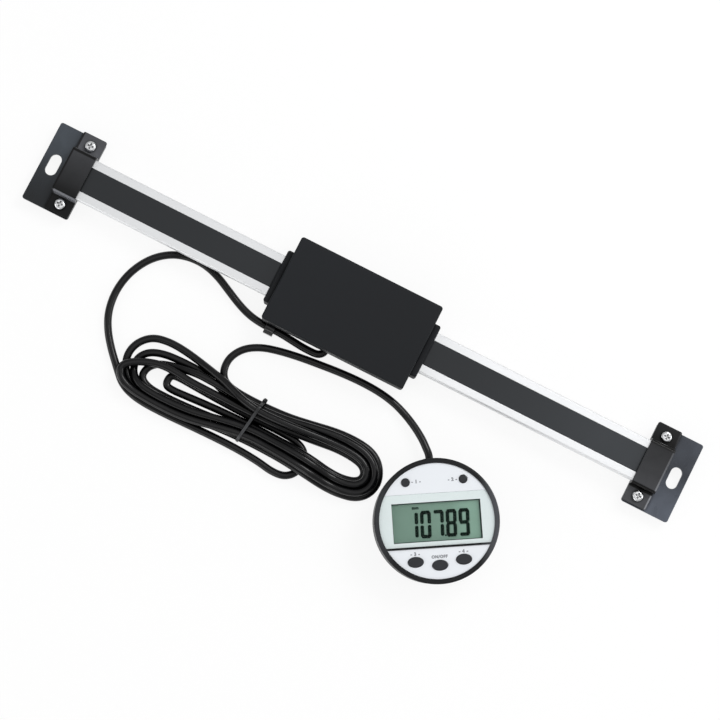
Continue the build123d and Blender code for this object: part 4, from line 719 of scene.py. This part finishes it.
class SCALE_OT_reading(Operator):
    """Models the lit segments on the glass and their soft shadow on the reflector"""
    bl_idname = "scale.reading"
    bl_label = "Reading"

    def bar_segment(self, wide, tall):
        """A flat stroke with clipped corners, modelled from a plate."""
        nothing_selected()
        bpy.ops.mesh.primitive_plane_add(size=1)
        piece = bpy.context.object
        piece.scale = (wide, tall, 1)
        bpy.ops.object.transform_apply(location=True, rotation=True, scale=True)
        bpy.ops.object.mode_set(mode="EDIT")
        bpy.ops.mesh.select_all(action="SELECT")
        bpy.ops.mesh.bevel(offset=STROKE_CLIP * MM, segments=1, affect="VERTICES")
        bpy.ops.mesh.select_all(action="SELECT")
        bpy.ops.mesh.extrude_region_move(TRANSFORM_OT_translate={"value": (0, 0, STROKE_THICK * MM)})
        bpy.ops.mesh.select_all(action="SELECT")
        bpy.ops.mesh.normals_make_consistent(inside=False)
        bpy.ops.object.mode_set(mode="OBJECT")
        return piece

    def execute(self, context):
        sizes = context.scene.scale_sizes
        colours = context.scene.scale_colours
        half_w = (sizes.digit_width - sizes.segment_width) / 2
        half_h = (sizes.digit_height - sizes.segment_width) / 2
        gap = MIDDLE_GAP * MM
        upright_length = (sizes.digit_height - gap) / 2 - UPRIGHT_INSET * MM
        upright_middle = (gap + upright_length) / 2
        tall = self.bar_segment(sizes.segment_width, upright_length)
        wide = self.bar_segment(sizes.digit_width - 2 * LEVEL_INSET * MM, sizes.segment_width)
        slant = Matrix.Identity(4)
        slant[0][1] = math.tan(sizes.digit_slant)
        digits = [mark for mark in sizes.reading if mark != "."]
        if any(mark not in LIT for mark in digits):
            raise ValueError("the reading is made of digits and one point")
        middle = Vector((*READING_MIDDLE, 0)) * MM
        last = len(digits) - 1
        strokes = []
        for number, mark in enumerate(digits):
            centre = middle + Vector(((number - last / 2) * sizes.digit_pitch, 0, 0))
            for name in LIT[mark]:
                across, up, upright = SEGMENT_PLACES[name]
                stroke = (tall if upright else wide).copy()
                stroke.data = stroke.data.copy()
                context.collection.objects.link(stroke)
                rise = up * (upright_middle if upright else half_h)
                place = Matrix.Translation(centre) @ slant @ Matrix.Translation((across * half_w, rise, 0))
                stroke.data.transform(place)
                strokes.append(stroke)
        point_at = sizes.reading.find(".")
        if point_at >= 0:
            across = (point_at - 0.5 - last / 2) * sizes.digit_pitch
            thick = STROKE_THICK * MM
            nothing_selected()
            bpy.ops.mesh.primitive_cylinder_add(vertices=POINT_SIDES, radius=POINT_RADIUS * MM, depth=thick,
                                                location=middle + Vector((across, -half_h, thick / 2)))
            point = context.object
            bpy.ops.object.transform_apply(location=True, rotation=True, scale=True)
            bpy.ops.object.mode_set(mode="EDIT")
            bpy.ops.mesh.bevel(offset=POINT_RIM * MM, segments=2, affect="EDGES")
            bpy.ops.object.mode_set(mode="OBJECT")
            strokes.append(point)
        for spare in (tall, wide):
            bpy.data.objects.remove(spare)
        reading = joined(strokes, "reading_segments")
        shadow = reading.copy()
        shadow.data = reading.data.copy()
        shadow.name = "reading_shadow"
        context.collection.objects.link(shadow)
        shadow.data.transform(Matrix.Translation(Vector((*SHADOW_SHIFT, 0)) * MM)
                              @ Matrix.Diagonal((1, 1, SHADOW_FLATNESS, 1)))
        settle(reading, READOUT @ Matrix.Translation((0, 0, GLASS_TOP + 4 * HAIR)))
        settle(shadow, READOUT @ Matrix.Translation((0, 0, GLASS_TOP + HAIR)))
        dark = finish("segment_dark", colours.segment, 0.6, 1500, cloud_scale=500, shade=0.2, shine=0.0)
        shade = finish("segment_shade", shaded(colours.glass, 0.62), 0.3, 1500, shade=0.05, shine=0.1)
        add_piece(reading, dark, "head")
        add_piece(shadow, shade, "head")
        return {"FINISHED"}


class SCALE_OT_labels(Operator):
    """Prints plain labels beside the keys and a unit mark over the glass"""
    bl_idname = "scale.labels"
    bl_label = "Key labels"

    def printed(self, words, height, u, v, z):
        """Words of a height in metres, flat on the readout's face."""
        nothing_selected()
        bpy.ops.object.text_add()
        text = bpy.context.object
        text.data.body = words
        text.data.size = height / CAPITAL_SHARE
        text.data.align_x = "CENTER"
        text.data.align_y = "CENTER"
        text.data.extrude = HAIR
        text.data.space_character = LETTER_SPACING
        text.data.offset = LETTER_WEIGHT * MM
        only(text)
        bpy.ops.object.convert(target="MESH")
        text = bpy.context.object
        settle(text, READOUT @ Matrix.Translation((u * MM, v * MM, z)))
        return text

    def execute(self, context):
        sizes = context.scene.scale_sizes
        colours = context.scene.scale_colours
        labels = [self.printed(words, share * sizes.label_height, u, v, PANEL_TOP + 2 * HAIR)
                  for words, share, u, v in KEY_LABELS]
        label = joined(labels, "key_labels")
        add_piece(label, finish("label_ink", colours.label, 0.5, 2500, shade=0.05), "head")
        unit = self.printed("mm", UNIT_HEIGHT * MM, *UNIT_PLACE, GLASS_TOP + 3 * HAIR)
        unit.name = "unit_mark"
        add_piece(unit, bpy.data.materials["segment_dark"], "head")
        return {"FINISHED"}


class SCALE_OT_cable(Operator):
    """Lays the cable from the head through the tied hank to the readout as one smooth line"""
    bl_idname = "scale.cable"
    bl_label = "Cable"

    def execute(self, context):
        sizes = context.scene.scale_sizes
        colours = context.scene.scale_colours
        route = [Vector(place) * MM for place in HEAD_RUN + HANK_TURNS + READOUT_RUN]
        line = bpy.data.curves.new("signal_cable", "CURVE")
        line.dimensions = "3D"
        line.bevel_depth = sizes.cable_diameter / 2
        line.bevel_resolution = 6
        line.resolution_u = 6
        spline = line.splines.new("NURBS")
        spline.points.add(len(route) - 1)
        for point, place in zip(spline.points, route):
            point.co = (*place, 1)
        spline.order_u = 3
        spline.use_endpoint_u = True
        spline.resolution_u = 6
        cable = bpy.data.objects.new("signal_cable", line)
        context.collection.objects.link(cable)
        # The jacket takes painted shade where the strands crowd each other.
        jacket = finish("cable_jacket", colours.jacket, 0.20, 1300, cloud_scale=180, shade=0.25,
                        relief=0.12, depth=0.00003, corner_shade_reach=0.005, shine=0.30)
        add_piece(cable, jacket, "head")
        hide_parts("cable_head_side", "cable_hank", "cable_display_side")
        return {"FINISHED"}


class SCALE_OT_tie(Operator):
    """Models the wire tie: a flat sleeve drawn tight round the hank, with its ends twisted together"""
    bl_idname = "scale.tie"
    bl_label = "Wire tie"

    def ring(self, context, name, half_width, thickness):
        """The tie's loop, drawn flat from its side, then stood up across the hank."""
        line = bpy.data.curves.new(name, "CURVE")
        line.dimensions = "2D"
        line.fill_mode = "NONE"
        line.extrude = half_width
        line.bevel_depth = thickness / 2
        line.bevel_resolution = 3
        line.resolution_u = 8
        spline = line.splines.new("NURBS")
        spline.points.add(len(TIE_LOOP) - 1)
        for point, (along, up) in zip(spline.points, TIE_LOOP):
            point.co = (along * MM, up * MM, 0, 1)
        spline.use_cyclic_u = True
        spline.order_u = 3
        loop = bpy.data.objects.new(name, line)
        context.collection.objects.link(loop)
        only(loop)
        bpy.ops.object.convert(target="MESH")
        return context.object

    def execute(self, context):
        sizes = context.scene.scale_sizes
        sleeve = self.ring(context, "sleeve", sizes.tie_width / 2 - TIE_EDGE * MM, TIE_THICK * MM)
        wire = self.ring(context, "wire", 0.0, WIRE_THICK * MM)
        twist = bpy.data.curves.new("twist", "CURVE")
        twist.dimensions = "3D"
        twist.bevel_depth = TWIST_WIRE_RADIUS * MM
        twist.bevel_resolution = 3
        twist.use_fill_caps = True
        for half in (0, math.pi):
            end = twist.splines.new("NURBS")
            end.points.add(TWIST_STEPS)
            for step, point in enumerate(end.points):
                turn = half + step * TWIST_STEP_TURN
                rise = step / TWIST_STEPS
                point.co = ((TWIST_START[0] + TWIST_RUN[0] * rise + TWIST_REACH * math.sin(turn)) * MM,
                            (TWIST_START[1] + TWIST_RUN[1] * rise) * MM,
                            TWIST_REACH * math.cos(turn) * MM, 1)
            end.order_u = 3
            end.use_endpoint_u = True
        ends = bpy.data.objects.new("twist", twist)
        context.collection.objects.link(ends)
        only(ends)
        bpy.ops.object.convert(target="MESH")
        tie = joined([sleeve, wire, context.object], "wire_tie")
        settle(tie, TIE_PLACE)
        bpy.ops.object.shade_smooth()
        # The sleeve is lighter at its southern end as painted highlight and darker towards the north as
        # painted shade.
        plastic = finish("tie_sleeve", (0.048, 0.050, 0.054), 0.34, 1100, cloud_scale=300, shade=0.2,
                         painted_light_fade=((0.15, 0.989, 0), ((-84, 1.0), (-70, 0.85), (-66, 0.35), (-57, 0.16))))
        add_piece(tie, plastic, "head")
        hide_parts("hank_tie")
        return {"FINISHED"}


class SCALE_OT_stage(Operator):
    """Sets the pale floor, soft light and the camera"""
    bl_idname = "scale.stage"
    bl_label = "Stage"

    def execute(self, context):
        nothing_selected()
        bpy.ops.mesh.primitive_plane_add(size=FLOOR_SIZE, location=(0, 0, CAD_BOX[0].z))
        floor = context.object
        floor.name = "stage_floor"
        paper = bpy.data.materials.new("pale_paper")
        paper.use_nodes = True
        tree = paper.node_tree
        surface = tree.nodes["Principled BSDF"]
        fibre = noise(tree, 300)
        tone = tones(tree, fibre, "Fac", (0.88, 0.88, 0.88), (0.92, 0.92, 0.92))
        link(tree, tone, "Color", surface, "Base Color")
        surface.inputs["Roughness"].default_value = 0.9
        surface.inputs["Specular IOR Level"].default_value = 0.0
        rays = tree.nodes.new("ShaderNodeLightPath")
        seen = reckoned(tree, "ADD", rays.outputs["Is Camera Ray"], rays.outputs["Is Glossy Ray"])
        seen = reckoned(tree, "ADD", seen, rays.outputs["Is Transmission Ray"])
        share = reckoned(tree, "MULTIPLY", seen, FLOOR_GLOW_SHARE)
        white = tree.nodes.new("ShaderNodeEmission")
        white.inputs["Strength"].default_value = FLOOR_GLOW
        mix = tree.nodes.new("ShaderNodeMixShader")
        tree.links.new(share, mix.inputs[0])
        tree.links.new(surface.outputs[0], mix.inputs[1])
        tree.links.new(white.outputs[0], mix.inputs[2])
        tree.links.new(mix.outputs[0], tree.nodes["Material Output"].inputs["Surface"])
        floor.data.materials.append(paper)

        world = bpy.data.worlds.new("soft_room")
        context.scene.world = world
        world.use_nodes = True
        world.node_tree.nodes["Background"].inputs["Color"].default_value = (1, 1, 1, 1)
        world.node_tree.nodes["Background"].inputs["Strength"].default_value = ROOM_LIGHT

        for name, place, size, power in LAMPS:
            lamp = bpy.data.lights.new(name, "AREA")
            lamp.shape = "SQUARE"
            lamp.size = size
            lamp.energy = power
            holder = bpy.data.objects.new(name, lamp)
            context.collection.objects.link(holder)
            holder.location = place
            aim = Vector(LAMP_TARGET) - Vector(place)
            holder.rotation_euler = aim.to_track_quat("-Z", "Y").to_euler()

        eye = bpy.data.cameras.new("camera")
        eye.sensor_width = CAMERA_SENSOR
        eye.lens = CAMERA_LENS
        eye.clip_start = CAMERA_NEAR
        camera = bpy.data.objects.new("camera", eye)
        context.collection.objects.link(camera)
        camera.location = CAMERA_PLACE
        camera.rotation_euler = [math.radians(turn) for turn in CAMERA_TURN]
        context.scene.camera = camera
        context.scene.view_settings.view_transform = "Standard"
        return {"FINISHED"}


class SCALE_PT_panel(Panel):
    """Lists the scale's pieces"""
    bl_idname = "SCALE_PT_panel"
    bl_label = "Linear Scale"
    bl_space_type = "VIEW_3D"
    bl_region_type = "UI"
    bl_category = "Linear Scale"

    def draw(self, context):
        for operator in OPERATORS:
            self.layout.operator(operator.bl_idname)
        for group in (context.scene.scale_sizes, context.scene.scale_colours):
            for name in group.__annotations__:
                self.layout.prop(group, name)


OPERATORS = (SCALE_OT_stage, SCALE_OT_tie, SCALE_OT_cable, SCALE_OT_bar, SCALE_OT_brackets, SCALE_OT_head,
             SCALE_OT_readout, SCALE_OT_lens, SCALE_OT_gasket, SCALE_OT_reading, SCALE_OT_labels)
CLASSES = (ScaleSizes, ScaleColours, *OPERATORS, SCALE_PT_panel)


def register():
    for kind in CLASSES:
        bpy.utils.register_class(kind)
    bpy.types.Scene.scale_sizes = PointerProperty(type=ScaleSizes)
    bpy.types.Scene.scale_colours = PointerProperty(type=ScaleColours)


def unregister():
    del bpy.types.Scene.scale_colours
    del bpy.types.Scene.scale_sizes
    for kind in reversed(CLASSES):
        bpy.utils.unregister_class(kind)


def main():
    register()
    for operator in OPERATORS:
        group, name = operator.bl_idname.split(".")
        getattr(getattr(bpy.ops, group), name)()


if __name__ == "__main__":
    main()
